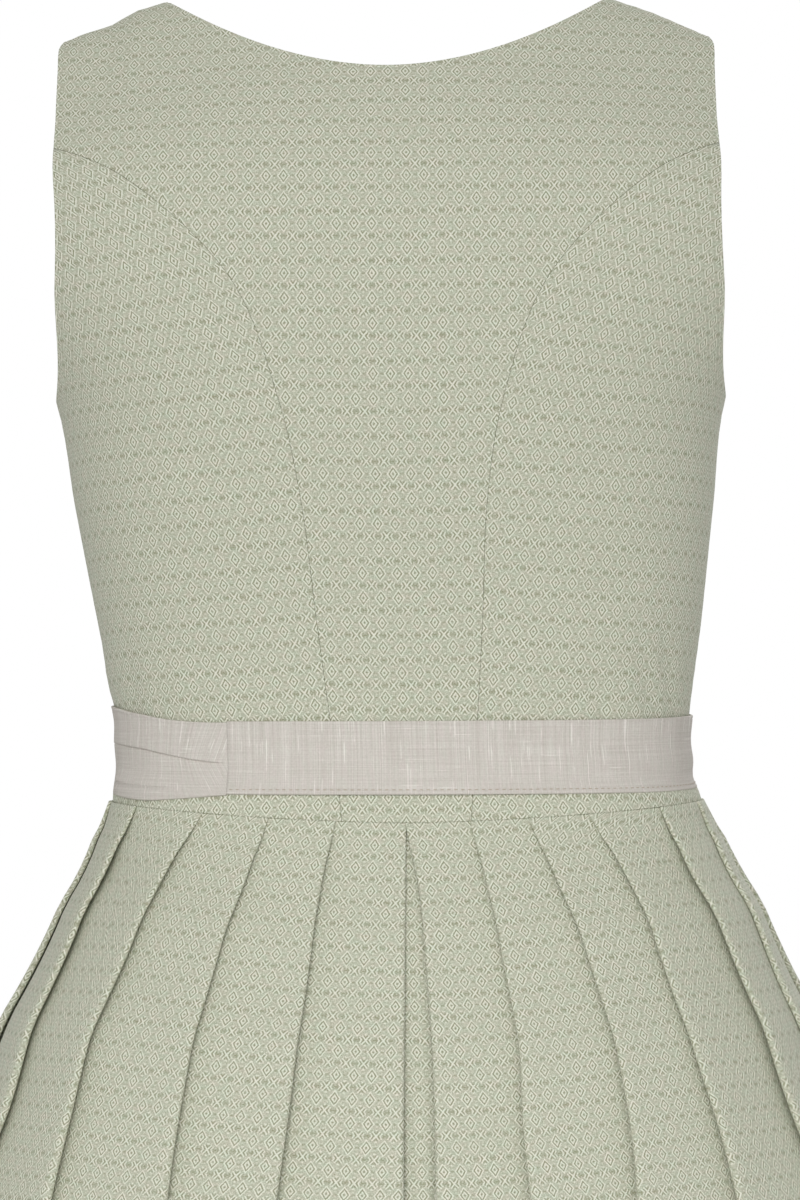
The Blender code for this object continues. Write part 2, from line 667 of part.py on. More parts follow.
def waist_radius():
    """Metres round the band for each radian, at the knot."""
    turn = math.radians(180 - KNOT_FROM_FRONT)
    ends = (waist_point(turn + by, BAND_TOP, band_out(turn)) for by in (-0.01, 0.01))
    return float(np.linalg.norm(np.subtract(*ends)) / 0.02)


def build_bow():
    seat, out, side = knot_frame()
    bpy.ops.mesh.primitive_cube_add(size=1, location=seat + out * (KNOT_SIZE[1] / 2 + KNOT_CLEAR))
    knot = bpy.context.object
    knot.name = "apron_knot"
    knot.scale = KNOT_SIZE
    knot.rotation_euler = (0, 0, math.atan2(side[1], side[0]))
    bpy.ops.object.transform_apply(location=False, rotation=False, scale=True)
    keep(knot, linen)
    soft = knot.modifiers.new("soft", "BEVEL")
    soft.width = 0.004
    soft.segments = 2

    across, out, half = BOW_LOOP.T
    for name, sign, slope in (("bow_loop_side", 1, 0.20), ("bow_loop_front", -1, 0.32)):
        order = slice(None, None, sign)
        away = sign * (beside_knot(sign, out[0]) + across)
        strip(name, away[order], out[order], (slope * across)[order], half[order])


def over_skirt(across, down, out):
    """A point over the skirt's front: across from the centre front, + to the wearer's left; down from the waist seam."""
    _, half_width, back, front, *_ = skirt_level(max(down, 0.0))
    made = ring(half_width, back, front, SKIRT_SQUARE)
    flat, sideness = on_ring(made, made[1][-1] - np.abs(across), out)
    z = skirt_height(down / SKIRT_LENGTH, sideness)
    if down < 0:
        z = np.full(len(flat), WAIST_SEAM - down)
    return np.column_stack([flat[:, 0] * np.where(across < 0, -1, 1), flat[:, 1], z])


def build_apron():
    turn = np.linspace(-1, 1, 4 * APRON_GATHERS + 1)
    wave = 0.5 - 0.5 * np.cos(np.arange(len(turn)) * math.pi / 2)
    rows = [over_skirt(turn * half, down, rise + depth * wave) for down, half, rise, depth in APRON_LEVELS]
    sheet("apron_panel", [np.stack(rows[::-1])], linen, LINEN_WALL, 0.0)
    for name, lean in (("tie_end_side", 1), ("tie_end_front", -1)):
        rows = []
        for down, apart, half, rise in TIE_END:
            across = tie_end_centre() + lean * apart + np.linspace(-1, 1, 4) * half
            rows.append(over_skirt(across, down, rise))
        sheet(name, [np.stack(rows[::-1])], linen, LINEN_WALL, 0.0)


def tie_end_centre():
    """Distance round the skirt from the centre front to the knot."""
    _, half_width, back, front, *_ = skirt_level(0.0)
    _, arc, turn = ring(half_width, back, front, SKIRT_SQUARE)
    return arc[-1] - float(np.interp(math.pi - math.radians(KNOT_FROM_FRONT), turn, arc))


# ---------------------------------------------------------------- run
for thing in list(bpy.data.objects):
    bpy.data.objects.remove(thing)
garment = bpy.data.collections.new("dirndl")
bpy.context.scene.collection.children.link(garment)
sage = material("jacquard_sage", SAGE, 0.85)
sage_skirt = material("jacquard_sage_skirt", SAGE_SHADE, 0.85)
linen = material("linen", LINEN, 0.9)
horn = material("horn", HORN, 0.4)

lap_edge = build_bodice()
build_skirt()
build_buttons(lap_edge)
build_band()
build_apron()
build_bow()
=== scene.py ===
"""A sleeveless dirndl with its linen apron, seen from the back: the cloth, its sewing and its creases."""

import math

import bmesh
import bpy
import numpy as np
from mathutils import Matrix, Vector


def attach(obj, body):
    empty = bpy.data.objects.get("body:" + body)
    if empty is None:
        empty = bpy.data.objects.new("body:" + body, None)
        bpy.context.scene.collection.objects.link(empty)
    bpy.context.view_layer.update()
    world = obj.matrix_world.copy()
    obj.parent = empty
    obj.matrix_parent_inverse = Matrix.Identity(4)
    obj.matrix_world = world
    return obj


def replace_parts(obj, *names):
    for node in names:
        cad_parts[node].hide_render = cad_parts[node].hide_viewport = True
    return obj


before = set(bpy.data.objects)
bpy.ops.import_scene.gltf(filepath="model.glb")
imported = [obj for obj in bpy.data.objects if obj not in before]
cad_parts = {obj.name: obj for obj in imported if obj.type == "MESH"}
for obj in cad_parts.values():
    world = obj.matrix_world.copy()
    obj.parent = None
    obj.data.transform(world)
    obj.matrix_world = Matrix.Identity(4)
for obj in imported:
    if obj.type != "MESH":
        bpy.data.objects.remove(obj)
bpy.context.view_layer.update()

# ---------------------------------------------------------------- sizes, metres
BODICE_WALL = 0.0012
SKIRT_WALL = 0.0006
LINEN_WALL = 0.0012
SEAM_GAP = 0.0001  # the cloth meets closer than the solids that it stands for
WAIST_GAP = 0.0001

WAIST_SEAM = -0.385  # at the centre back and the centre front
SKIRT_LENGTH = 0.700
FOLDS_PER_HALF = 12  # knife pleats from the centre back round to the centre front
PLEAT_CLOTH = 0.0920  # cloth from one fold edge to the next
SIDE_SEAM_FOLD = 6  # the skirt's side seam lies in the underlay of this fold

NECK_HALF_WIDTH = 0.1045
NECK_TOP = 0.0033  # height of the neckline at the shoulder
NECK_DROP_BACK = 0.0355
NECK_DROP_FRONT = 0.153
NECK_ROUND_BACK = 1.92  # power of the neckline's curve
NECK_ROUND_FRONT = 3.2

UNDERARM_STATION = 4.0  # stations below say where these are
SHOULDER_STATION = 8
ARMHOLE_WIDEST = 6.0
SHOULDER_STEP = 0.05  # metres in a station there
ARMHOLE_ANGLE = 38.6  # how far the armhole cuts in from the side, in degrees round the body
ARMHOLE_EASE = 4.2  # by how much less at the shoulder
CORNER_IN = 1.9  # and in again by this much right on the shoulder, so that the corner is round
CORNER_REACH = 0.0075  # metres

FRONT_LAP = 0.010  # how far each front runs past the centre front
LAP_CLEAR = 0.0008  # beyond the lap, before the upper front comes down
LAP_RAMP = 0.008  # in which the upper front comes down beside the lower one
BUTTONS = 6
BUTTON_RADIUS = 0.0060
BUTTON_HEIGHT = 0.0030
BUTTONS_TOP = -0.168
BUTTONS_BOTTOM = -0.318

BAND_TOP = -0.336
BAND_BOTTOM = -0.372
BAND_CLEARANCE = 0.0005
BAND_JOIN = 35.5  # degrees from the centre back to where the tie is sewn to the band
KNOT_FROM_FRONT = 24.0  # degrees from the centre front to the knot, on the wearer's left

KNOT_TURN = 3.0  # degrees from the knot's middle to where the band and the tie go under it
KNOT_SIZE = (0.024, 0.013, 0.034)
KNOT_CLEAR = 0.00065  # off the band, and off each bow loop
LAP_TURN = math.radians(22)
LAP_RISE = 0.0021

APRON_GATHERS = 16
# down from the waist seam, half of the panel's width, its middle plane over the fold edges, height of a gather
# columns: down, half, rise, depth
APRON_LEVELS = np.array(
    [
        (-0.0124, 0.150, 0.0024, 0.0030),
        (0.0000, 0.152, 0.0026, 0.0034),
        (0.0180, 0.158, 0.0026, 0.0040),
        (0.0480, 0.172, 0.0028, 0.0050),
        (0.1000, 0.198, 0.0030, 0.0070),
        (0.1800, 0.234, 0.0032, 0.0090),
        (0.2900, 0.274, 0.0034, 0.0120),
        (0.4200, 0.312, 0.0034, 0.0140),
        (0.5600, 0.345, 0.0034, 0.0160),
        (0.6720, 0.366, 0.0040, 0.0170),
    ]
)
# down from the waist seam, how far from the knot, half of the strip's width, over the fold edges
# columns: down, across, half, rise
TIE_END = np.array(
    [
        (-0.0134, 0.0058, 0.0052, 0.0066),
        (-0.0105, 0.0066, 0.0060, 0.0080),
        (0.0000, 0.0088, 0.0080, 0.0088),
        (0.0180, 0.0125, 0.0115, 0.0096),
        (0.0480, 0.0165, 0.0145, 0.0115),
        (0.1000, 0.0215, 0.0175, 0.0145),
        (0.1800, 0.0290, 0.0195, 0.0175),
        (0.2600, 0.0360, 0.0200, 0.0205),
    ]
)
# out from the knot, off the band, half of the strip's width
# columns: across, out, half
BOW_LOOP = np.array(
    [
        (0.0000, 0.0080, 0.0095),
        (0.0130, 0.0070, 0.0140),
        (0.0260, 0.0080, 0.0165),
        (0.0390, 0.0098, 0.0175),
        (0.0500, 0.0128, 0.0180),
        (0.0560, 0.0170, 0.0180),
        (0.0510, 0.0220, 0.0180),
        (0.0390, 0.0246, 0.0175),
        (0.0260, 0.0228, 0.0165),
        (0.0130, 0.0160, 0.0140),
        (0.0000, 0.0116, 0.0095),
    ]
)

# One row for each station, from the back waist seam over the shoulder to the front waist seam.
#   depth       from the shoulder line to the cloth at the centre, + to the back
#   height      at the centre
#   drop        how much lower the same station is at the side
#   half_width  of the body there
#   square      0 is an ellipse, more is a flatter back or a fuller bust
#   seam        from the centre to the princess seam
STATION_COLUMNS = ("depth", "height", "drop", "half_width", "square", "seam")
STATIONS = np.array(
    [
        (+0.084, -0.385, -0.008, 0.1400, 0.14, 0.0300),
        (+0.079, -0.345, -0.003, 0.1352, 0.14, 0.0335),
        (+0.083, -0.290, +0.000, 0.1436, 0.14, 0.0386),
        (+0.091, -0.237, +0.000, 0.1515, 0.14, 0.0430),
        (+0.097, -0.187, +0.000, 0.1590, 0.14, 0.0525),
        (+0.098, -0.132, +0.001, 0.1840, 0.16, 0.0740),
        (+0.088, -0.080, +0.010, 0.1960, 0.16, 0.1230),
        (+0.055, -0.027, +0.036, 0.1950, 0.10, 0.1900),
        (+0.000, +0.0275, +0.060, 0.1915, 0.00, 0.2200),
        (-0.043, -0.022, +0.038, 0.1930, 0.10, 0.1900),
        (-0.079, -0.076, +0.014, 0.1930, 0.20, 0.1500),
        (-0.113, -0.132, +0.003, 0.1810, 0.36, 0.1130),
        (-0.137, -0.187, +0.000, 0.1590, 0.52, 0.0930),
        (-0.143, -0.237, +0.000, 0.1515, 0.60, 0.0850),
        (-0.124, -0.290, +0.000, 0.1436, 0.38, 0.0700),
        (-0.114, -0.345, -0.003, 0.1352, 0.18, 0.0600),
        (-0.118, -0.385, -0.008, 0.1400, 0.14, 0.0600),
    ]
)
LAST_STATION = len(STATIONS) - 1

# One row for each level of the skirt.
#   down        below the waist seam
#   half_width, back, front   of the ring that the outer fold edges touch
#   rise_back, rise_side      how far a fold edge stands out from the inner fold behind it
#   roll        radius at which the cloth turns at a fold
#   centre_gap  between the two fold edges that face each other at the centre back
#   square      how much flatter than an ellipse the back hangs
# columns: down, half_width, back, front, rise_back, rise_side, roll, centre_gap, square
SKIRT_LEVELS = np.array(
    [
        (0.000, 0.1416, 0.0844, 0.1184, 0.0022, 0.0022, 0.0004, 0.0010, 0.12),
        (0.018, 0.1512, 0.0930, 0.126, 0.0070, 0.0048, 0.0010, 0.0022, 0.17),
        (0.048, 0.1680, 0.1090, 0.140, 0.0080, 0.0052, 0.0012, 0.0045, 0.22),
        (0.100, 0.1940, 0.1360, 0.163, 0.0095, 0.0062, 0.0016, 0.0085, 0.24),
        (0.180, 0.2330, 0.1740, 0.194, 0.0120, 0.0090, 0.0024, 0.0150, 0.23),
        (0.290, 0.2720, 0.2160, 0.229, 0.0150, 0.0145, 0.0034, 0.0230, 0.19),
        (0.420, 0.3060, 0.2550, 0.262, 0.0170, 0.0170, 0.0040, 0.0310, 0.14),
        (0.560, 0.3290, 0.2820, 0.285, 0.0170, 0.0175, 0.0048, 0.0380, 0.12),
        (0.700, 0.3440, 0.2990, 0.301, 0.0155, 0.0155, 0.0060, 0.0430, 0.12),
    ]
)
SKIRT_SQUARE = 0.12  # of the front


# ---------------------------------------------------------------- shared form
def bell(away, reach):
    """1 where away is 0, falling smoothly to nothing past the reach."""
    return np.exp(-((away / reach) ** 2))


def eased(share):
    """From 0 to 1 with a soft start and end."""
    share = np.clip(share, 0, 1)
    return share * share * (3 - 2 * share)


def path_length(points):
    """Length along a line of points from its first one."""
    return np.concatenate([[0], np.cumsum(np.linalg.norm(np.diff(points, axis=0), axis=1))])


def interpolate(table, at):
    """Rows of table at fractional row numbers, along smooth curves through the rows."""
    at = np.clip(np.asarray(at, float), 0, len(table) - 1)
    low = np.minimum(at.astype(int), len(table) - 2)
    share = (at - low)[..., None]

    def row(number):
        inside = np.clip(number, 0, len(table) - 1)
        past = (number - inside)[..., None]
        step = np.where(past < 0, table[1] - table[0], table[-1] - table[-2])
        return table[inside] + past * step

    a, b, c, d = (row(low + k) for k in (-1, 0, 1, 2))
    curve = 2 * a - 5 * b + 4 * c - d + share * (3 * (b - c) + d - a)
    return b + 0.5 * share * (c - a + share * curve)


def row_at(table, value):
    """The row of table for a value of its first column, along smooth curves through the rows."""
    return interpolate(table, np.interp(value, table[:, 0], np.arange(len(table))))


def body(station, angle):
    """A point of the bodice's outer face; angle runs from the centre back or front to the side."""
    depth, height, drop, half_width, square, _ = np.moveaxis(interpolate(STATIONS, station), -1, 0)
    sine, cosine = np.sin(angle), np.cos(angle)
    x = half_width * sine * (1 + 0.4 * square * cosine**2)
    y = depth * cosine * (1 + square * sine**2)
    z = height - drop * np.abs(sine) ** 1.5
    return np.stack(np.broadcast_arrays(x, y, z), -1)


def solve(low, high, wrong):
    """Where wrong, which rises from low to high, is nought."""
    low, high = np.asarray(low, float) + 0.0, np.asarray(high, float) + 0.0
    for _ in range(40):
        middle = (low + high) / 2
        above = wrong(middle) > 0
        low, high = np.where(above, low, middle), np.where(above, middle, high)
    return (low + high) / 2


def armhole_angle(station):
    """Angle of the armhole's edge: a quarter of an oval up from the underarm, then gently out to the shoulder."""
    from_end = np.minimum(station, LAST_STATION - station)
    up = np.clip((from_end - UNDERARM_STATION) / (ARMHOLE_WIDEST - UNDERARM_STATION), 0, 1)
    past = np.clip((from_end - ARMHOLE_WIDEST) / (SHOULDER_STATION - ARMHOLE_WIDEST), 0, 1)
    cut_in = ARMHOLE_ANGLE * np.sqrt(1 - (1 - up) ** 2) - ARMHOLE_EASE * past**2
    cut_in = cut_in + CORNER_IN * bell((SHOULDER_STATION - from_end) * SHOULDER_STEP, CORNER_REACH)
    return math.radians(90) - np.radians(cut_in)


def seam_angle(station):
    """Angle of the princess seam, at most the armhole's."""
    station = np.asarray(station, float)
    wanted = interpolate(STATIONS, station)[..., STATION_COLUMNS.index("seam")]
    edge = armhole_angle(station)
    found = solve(np.zeros_like(station), edge, lambda a: body(station, a)[..., 0] - wanted)
    return np.minimum(found, edge)


def seam_meets_armhole(from_back):
    """The station, counted from the waist seam, at which the princess seam runs into the armhole."""
    sign, first = (1, 0) if from_back else (-1, LAST_STATION)
    wrong = lambda up: seam_angle(first + sign * up) - armhole_angle(first + sign * up) + 1e-6
    return float(solve(UNDERARM_STATION + 0.5, SHOULDER_STATION - 0.5, wrong))


def sideways(station, angle):
    """Metres across for each radian, on the body."""
    step = 1e-4
    return np.linalg.norm(body(station, angle + step) - body(station, angle - step), axis=-1) / (2 * step)


def seam_half_gap(station, edge):
    """Half of the seam's gap as an angle, wider where the seam runs aslant."""
    step = 0.05
    ahead, behind = (body(s, edge(s)) for s in (station + step, station - step))
    along = ahead - behind
    slant = np.abs(along[..., 0]) / np.maximum(np.abs(along[..., 2]), 1e-4)
    gap = SEAM_GAP / 2 * np.hypot(1, np.minimum(slant, 4.0))
    return gap / sideways(station, edge(station))


def neckline(x, from_back):
    """Height of the neckline at a distance from the centre line."""
    drop, power = (NECK_DROP_BACK, NECK_ROUND_BACK) if from_back else (NECK_DROP_FRONT, NECK_ROUND_FRONT)
    return NECK_TOP - drop * (1 - np.abs(x / NECK_HALF_WIDTH) ** power)


def neck_foot(from_back):
    """The station, counted from the waist seam, at the foot of the neckline."""
    sign, first = (1, 0) if from_back else (-1, LAST_STATION)
    wrong = lambda up: body(first + sign * up, 0.0)[..., 2] - neckline(0.0, from_back)
    return float(solve(UNDERARM_STATION, SHOULDER_STATION, wrong))


def shoulder_gap(angle):
    """Stations between a panel's end and the shoulder line."""
    return 0.8 * SEAM_GAP / SHOULDER_STEP / np.cos(angle)


def clear_of_seam(station, angle):
    """The angles with the last column moved in by half of the princess seam's gap, up to the armhole."""
    in_seam = seam_angle(station[:, -1]) < armhole_angle(station[:, -1]) - 1e-5
    angle = angle.copy()
    angle[:, -1] -= np.where(in_seam, seam_half_gap(station[:, -1], seam_angle), 0)
    return angle


def lap_lift(x):
    """How far the upper front, the wearer's right, is lifted clear of the lower one."""
    return (BODICE_WALL + SEAM_GAP) * eased((x + FRONT_LAP + LAP_CLEAR + LAP_RAMP) / LAP_RAMP)


# ---------------------------------------------------------------- what goes round the body
def skirt_level(down):
    """The skirt's sizes at a distance below the waist seam."""
    return row_at(SKIRT_LEVELS, down)


def ring(half_width, back, front, back_square, count=721):
    """Half a ring from the centre back to the centre front on the wearer's left, as points and their arc lengths."""
    turn = np.linspace(0, math.pi, count)
    depth = np.where(turn < math.pi / 2, back, front)
    square = np.where(turn < math.pi / 2, back_square, SKIRT_SQUARE)
    sine, cosine = np.sin(turn), np.cos(turn)
    x = half_width * sine * (1 + 0.4 * square * cosine**2)
    y = depth * cosine * (1 + square * sine**2)
    points = np.stack([x, y], -1)
    return points, path_length(points), turn


def on_ring(made, along, out):
    """Points at arc lengths along a half ring, moved outwards; also how far to the side each is, 0 to 1."""
    points, arc, turn = made
    along = np.clip(along, 0, arc[-1])
    step = 0.0005
    behind, place, ahead = (
        np.stack([np.interp(along + by, arc, points[:, k]) for k in (0, 1)], -1) for by in (-step, 0, step)
    )
    tangent = ahead - behind
    tangent /= np.linalg.norm(tangent, axis=-1, keepdims=True)
    outward = np.stack([-tangent[..., 1], tangent[..., 0]], -1)
    return place + out[..., None] * outward, np.sin(np.interp(along, arc, turn))


def waist_rise(sideness):
    """How much higher the waist seam is at the side than at the centre."""
    return -STATIONS[0][2] * np.abs(sideness) ** 1.5


def belt(circles):
    """Tangent points and headings of a belt round circles (u, v, radius, sign); sign +1 turns left."""
    heads, starts, ends = [], [], []
    for (u1, v1, r1, s1), (u2, v2, r2, s2) in zip(circles[:-1], circles[1:]):
        apart = math.hypot(u2 - u1, v2 - v1)
        lean = np.clip((s2 * r2 - s1 * r1) / apart, -1, 1)
        head = math.atan2(v2 - v1, u2 - u1) - math.asin(lean)
        left = np.array((-math.sin(head), math.cos(head)))
        starts.append(np.array((u1, v1)) - s1 * r1 * left)
        ends.append(np.array((u2, v2)) - s2 * r2 * left)
        heads.append(head)
    return starts, ends, heads


def turned(circle, head_in, head_out, count):
    """count points round a circle from one heading to another."""
    u, v, radius, sign = circle
    heads = np.linspace(head_in, head_out, count)
    left = np.stack([-np.sin(heads), np.cos(heads)], -1)
    return np.array((u, v)) - sign * radius * left


def fold_circles(fold, tuck, rise, roll):
    """The two circles of one fold: the inner one, hidden behind, and the outer one at the fold edge."""
    inner = (fold + tuck, -rise + roll, roll, +1)
    outer = (fold + roll, -roll, roll, -1)
    return inner, outer


def pleat_length(pitch, tuck, rise, roll):
    """Cloth from one fold edge to the next."""
    _, first = fold_circles(0, tuck, rise, roll)
    inner, outer = fold_circles(pitch, tuck, rise, roll)
    starts, ends, heads = belt([first, inner, outer])
    lines = sum(np.linalg.norm(end - start) for start, end in zip(starts, ends))
    return lines + 2 * roll * (heads[1] - heads[0])


def tuck_for(pitch, rise, roll):
    """How far a fold is tucked behind, so that each pleat takes up its cloth."""
    low, high = -0.45 * pitch, 0.97 * pitch
    for _ in range(30):
        middle = (low + high) / 2
        if pleat_length(pitch, middle, rise, roll) > PLEAT_CLOTH:
            high = middle
        else:
            low = middle
    return (low + high) / 2


def skirt_height(level, sideness):
    """Height of a point of the skirt; the waist seam is a little higher at the side than the rows below."""
    top = WAIST_SEAM + waist_rise(sideness)
    return top - WAIST_GAP + level * (WAIST_SEAM - SKIRT_LENGTH - top)


def waist_point(round_angle, z, out):
    """A point outside the bodice at the waist; round_angle runs from the centre back over the wearer's left."""
    turn = np.asarray(round_angle, float) % (2 * math.pi)
    left = turn < math.pi
    from_back = np.where(left, turn, 2 * math.pi - turn)
    behind = from_back < math.pi / 2
    angle = np.where(behind, from_back, math.pi - from_back)
    up = np.interp(z, STATIONS[:4, 1], np.arange(4.0))
    station = np.where(behind, up, LAST_STATION - up)
    step = 1e-3
    place, ahead, back_by = (body(station, angle + by) for by in (0, step, -step))
    along = (ahead - back_by) * np.where(behind, 1, -1)[..., None]
    outward = np.stack([-along[..., 1], along[..., 0], 0 * along[..., 2]], -1)
    outward /= np.linalg.norm(outward, axis=-1, keepdims=True)
    place = place + np.asarray(out)[..., None] * outward
    place[..., 2] = z
    return np.where(left[..., None], place, place * (-1, 1, 1))


def band_out(round_angle):
    """How far the band's outer face lies from the bodice: a little more over the buttoned lap."""
    from_front = np.abs(np.asarray(round_angle) % (2 * math.pi) - math.pi)
    return BAND_CLEARANCE + LINEN_WALL + LAP_RISE * eased((LAP_TURN - from_front) / (LAP_TURN / 2))


def knot_frame():
    """Where the knot is, outwards from it, and along the band towards the wearer's side."""
    turn = math.radians(180 - KNOT_FROM_FRONT)
    seat = waist_point(turn, BAND_BOTTOM, band_out(turn))
    out = waist_point(turn, BAND_BOTTOM, band_out(turn) + 0.01) - seat
    out /= np.linalg.norm(out)
    seat[2] = (BAND_TOP + BAND_BOTTOM) / 2
    return seat, out, np.array((-out[1], out[0], 0)) * (1 if out[1] < 0 else -1)


def beside_knot(sign, out):
    """Distance along the band at which a loop's end clears the knot's side."""
    seat, _, side = knot_frame()
    middle = math.radians(180 - KNOT_FROM_FRONT)

    def wrong(across):
        turn = middle - sign * across / waist_radius()
        point = waist_point(turn, seat[2], band_out(turn) + out)
        return np.abs(((point - seat) * side).sum(-1)) - KNOT_SIZE[0] / 2 - KNOT_CLEAR

    return float(solve(0.0, 0.03, wrong))


def waist_radius():
    """Metres round the band for each radian, at the knot."""
    turn = math.radians(180 - KNOT_FROM_FRONT)
    ends = (waist_point(turn + by, BAND_TOP, band_out(turn)) for by in (-0.01, 0.01))
    return float(np.linalg.norm(np.subtract(*ends)) / 0.02)


def over_skirt(across, down, out):
    """A point over the skirt's front: across is + to the wearer's left, down is from the waist seam."""
    _, half_width, back, front, *_ = skirt_level(max(down, 0.0))
    made = ring(half_width, back, front, SKIRT_SQUARE)
    flat, sideness = on_ring(made, made[1][-1] - np.abs(across), out)
    z = skirt_height(down / SKIRT_LENGTH, sideness)
    if down < 0:
        z = np.full(len(flat), WAIST_SEAM - down)
    return np.column_stack([flat[:, 0] * np.where(across < 0, -1, 1), flat[:, 1], z])


def tie_end_centre():
    """Distance round the skirt from the centre front to the knot."""
    _, half_width, back, front, *_ = skirt_level(0.0)
    _, arc, turn = ring(half_width, back, front, SKIRT_SQUARE)
    return arc[-1] - float(np.interp(math.pi - math.radians(KNOT_FROM_FRONT), turn, arc))


# ---------------------------------------------------------------- cloth
# distances from an edge at which the mesh has a line of points, so that the turned edge is round
EDGE_STEPS = np.array([0, 0.0002, 0.0004, 0.0007, 0.0010, 0.0013, 0.0017, 0.0022, 0.0032, 0.0050, 0.0080])
EDGE_ROLL = 0.0006  # radius of a turned edge
EDGE_STITCH = 0.0016  # the line beside a turned edge, where it is stitched down
STITCH_HALF = 0.00028
STITCH_DEPTH = 0.00022
SEAM_ROLL = 0.00025
PUCKER = 0.00016  # height of the small ripples that a seam draws up beside it
PUCKER_REACH = 0.0050
PUCKER_LENGTH = 0.0085

lattice_station = np.linspace(0, LAST_STATION, 961)
lattice_angle = np.linspace(0, math.pi / 2, 181)
lattice = body(lattice_station[:, None], lattice_angle[None])


def running_length(points, axis):
    """Length along a grid's lines from their first points."""
    steps = np.linalg.norm(np.diff(points, axis=axis), axis=-1)
    start = np.zeros_like(np.take(steps, [0], axis))
    return np.cumsum(np.concatenate([start, steps], axis), axis)


ACROSS = running_length(lattice, 1)
UP = running_length(lattice, 0)


def sampled(table, station, angle):
    """The lattice's table at any station and angle, straight between its points."""
    row = np.clip(station / LAST_STATION, 0, 1) * (table.shape[0] - 1)
    column = np.clip(angle / (math.pi / 2), 0, 1) * (table.shape[1] - 1)
    r = np.minimum(row.astype(int), table.shape[0] - 2)
    c = np.minimum(column.astype(int), table.shape[1] - 2)
    p, q = row - r, column - c
    low = table[r, c] * (1 - q) + table[r, c + 1] * q
    high = table[r + 1, c] * (1 - q) + table[r + 1, c + 1] * q
    return low * (1 - p) + high * p


def angle_at(station, across):
    """The angle at a distance from the centre line, along a station."""
    station, across = np.broadcast_arrays(station, across)
    angle = across / sideways(station, np.zeros_like(station))
    for _ in range(4):
        angle = angle - (sampled(ACROSS, station, angle) - across) / sideways(station, angle)
    return angle


def spread(length, low, high, count):
    """Distances along lines of each length: at the low steps, evenly between, and at the high steps from the end."""
    length = np.asarray(length, float)[..., None]
    squeeze = np.minimum(1, length / 0.030)
    first, last = low * squeeze, length - high[::-1] * squeeze
    between = np.linspace(0, 1, count + 2)[1:-1] * (last[..., :1] - first[..., -1:]) + first[..., -1:]
    return np.concatenate([first, between, last], -1)


def normals_of(points):
    """Outward unit normals of a grid whose rows run up and whose columns run to the right as seen from outside."""
    along = np.gradient(points, axis=1)
    up = np.gradient(points, axis=0)
    normal = np.cross(along, up)
    return normal / np.maximum(np.linalg.norm(normal, axis=-1, keepdims=True), 1e-12)


def to_line(points, line):
    """Distance from each point to a line of points, and how far along it the nearest place is."""
    flat = points.reshape(-1, 3)
    start, step = line[:-1], np.diff(line, axis=0)
    length = np.maximum(np.linalg.norm(step, axis=1), 1e-9)
    begun = np.concatenate([[0], np.cumsum(length)])[:-1]
    apart, along = [], []
    for part in np.array_split(flat, max(1, len(flat) * len(step) // 400000)):
        gap = part[:, None] - start[None]
        share = np.clip((gap * step).sum(-1) / length**2, 0, 1)
        distance = np.linalg.norm(gap - share[..., None] * step, axis=-1)
        nearest = distance.argmin(1)
        at = np.arange(len(part))
        apart.append(distance[at, nearest])
        along.append(begun[nearest] + share[at, nearest] * length[nearest])
    return np.concatenate(apart).reshape(points.shape[:2]), np.concatenate(along).reshape(points.shape[:2])


def rounded(distance, radius):
    """How far a surface falls away beside its edge."""
    return radius * (1 - np.sqrt(1 - np.clip(1 - distance / radius, 0, 1) ** 2))


def sewn_relief(points, turned_edges, seams):
    """How far each point of a panel stands out: rounded edges, a caught-down line, and a seam's small ripples."""
    relief = np.zeros(points.shape[:2])
    for line in turned_edges:
        distance, _ = to_line(points, line)
        relief -= rounded(distance, EDGE_ROLL)
        relief -= STITCH_DEPTH * bell(distance - EDGE_STITCH, STITCH_HALF)
    for k, line in enumerate(seams):
        distance, along = to_line(points, line)
        relief -= rounded(distance, SEAM_ROLL)
        ripple = np.sin(2 * math.pi * along / PUCKER_LENGTH + 2.1 * np.sin(along / 0.021 + k) + 1.7 * k)
        relief += PUCKER * ripple * np.exp(-distance / PUCKER_REACH) * (0.6 + 0.4 * np.sin(along / 0.037 + k))
    return relief


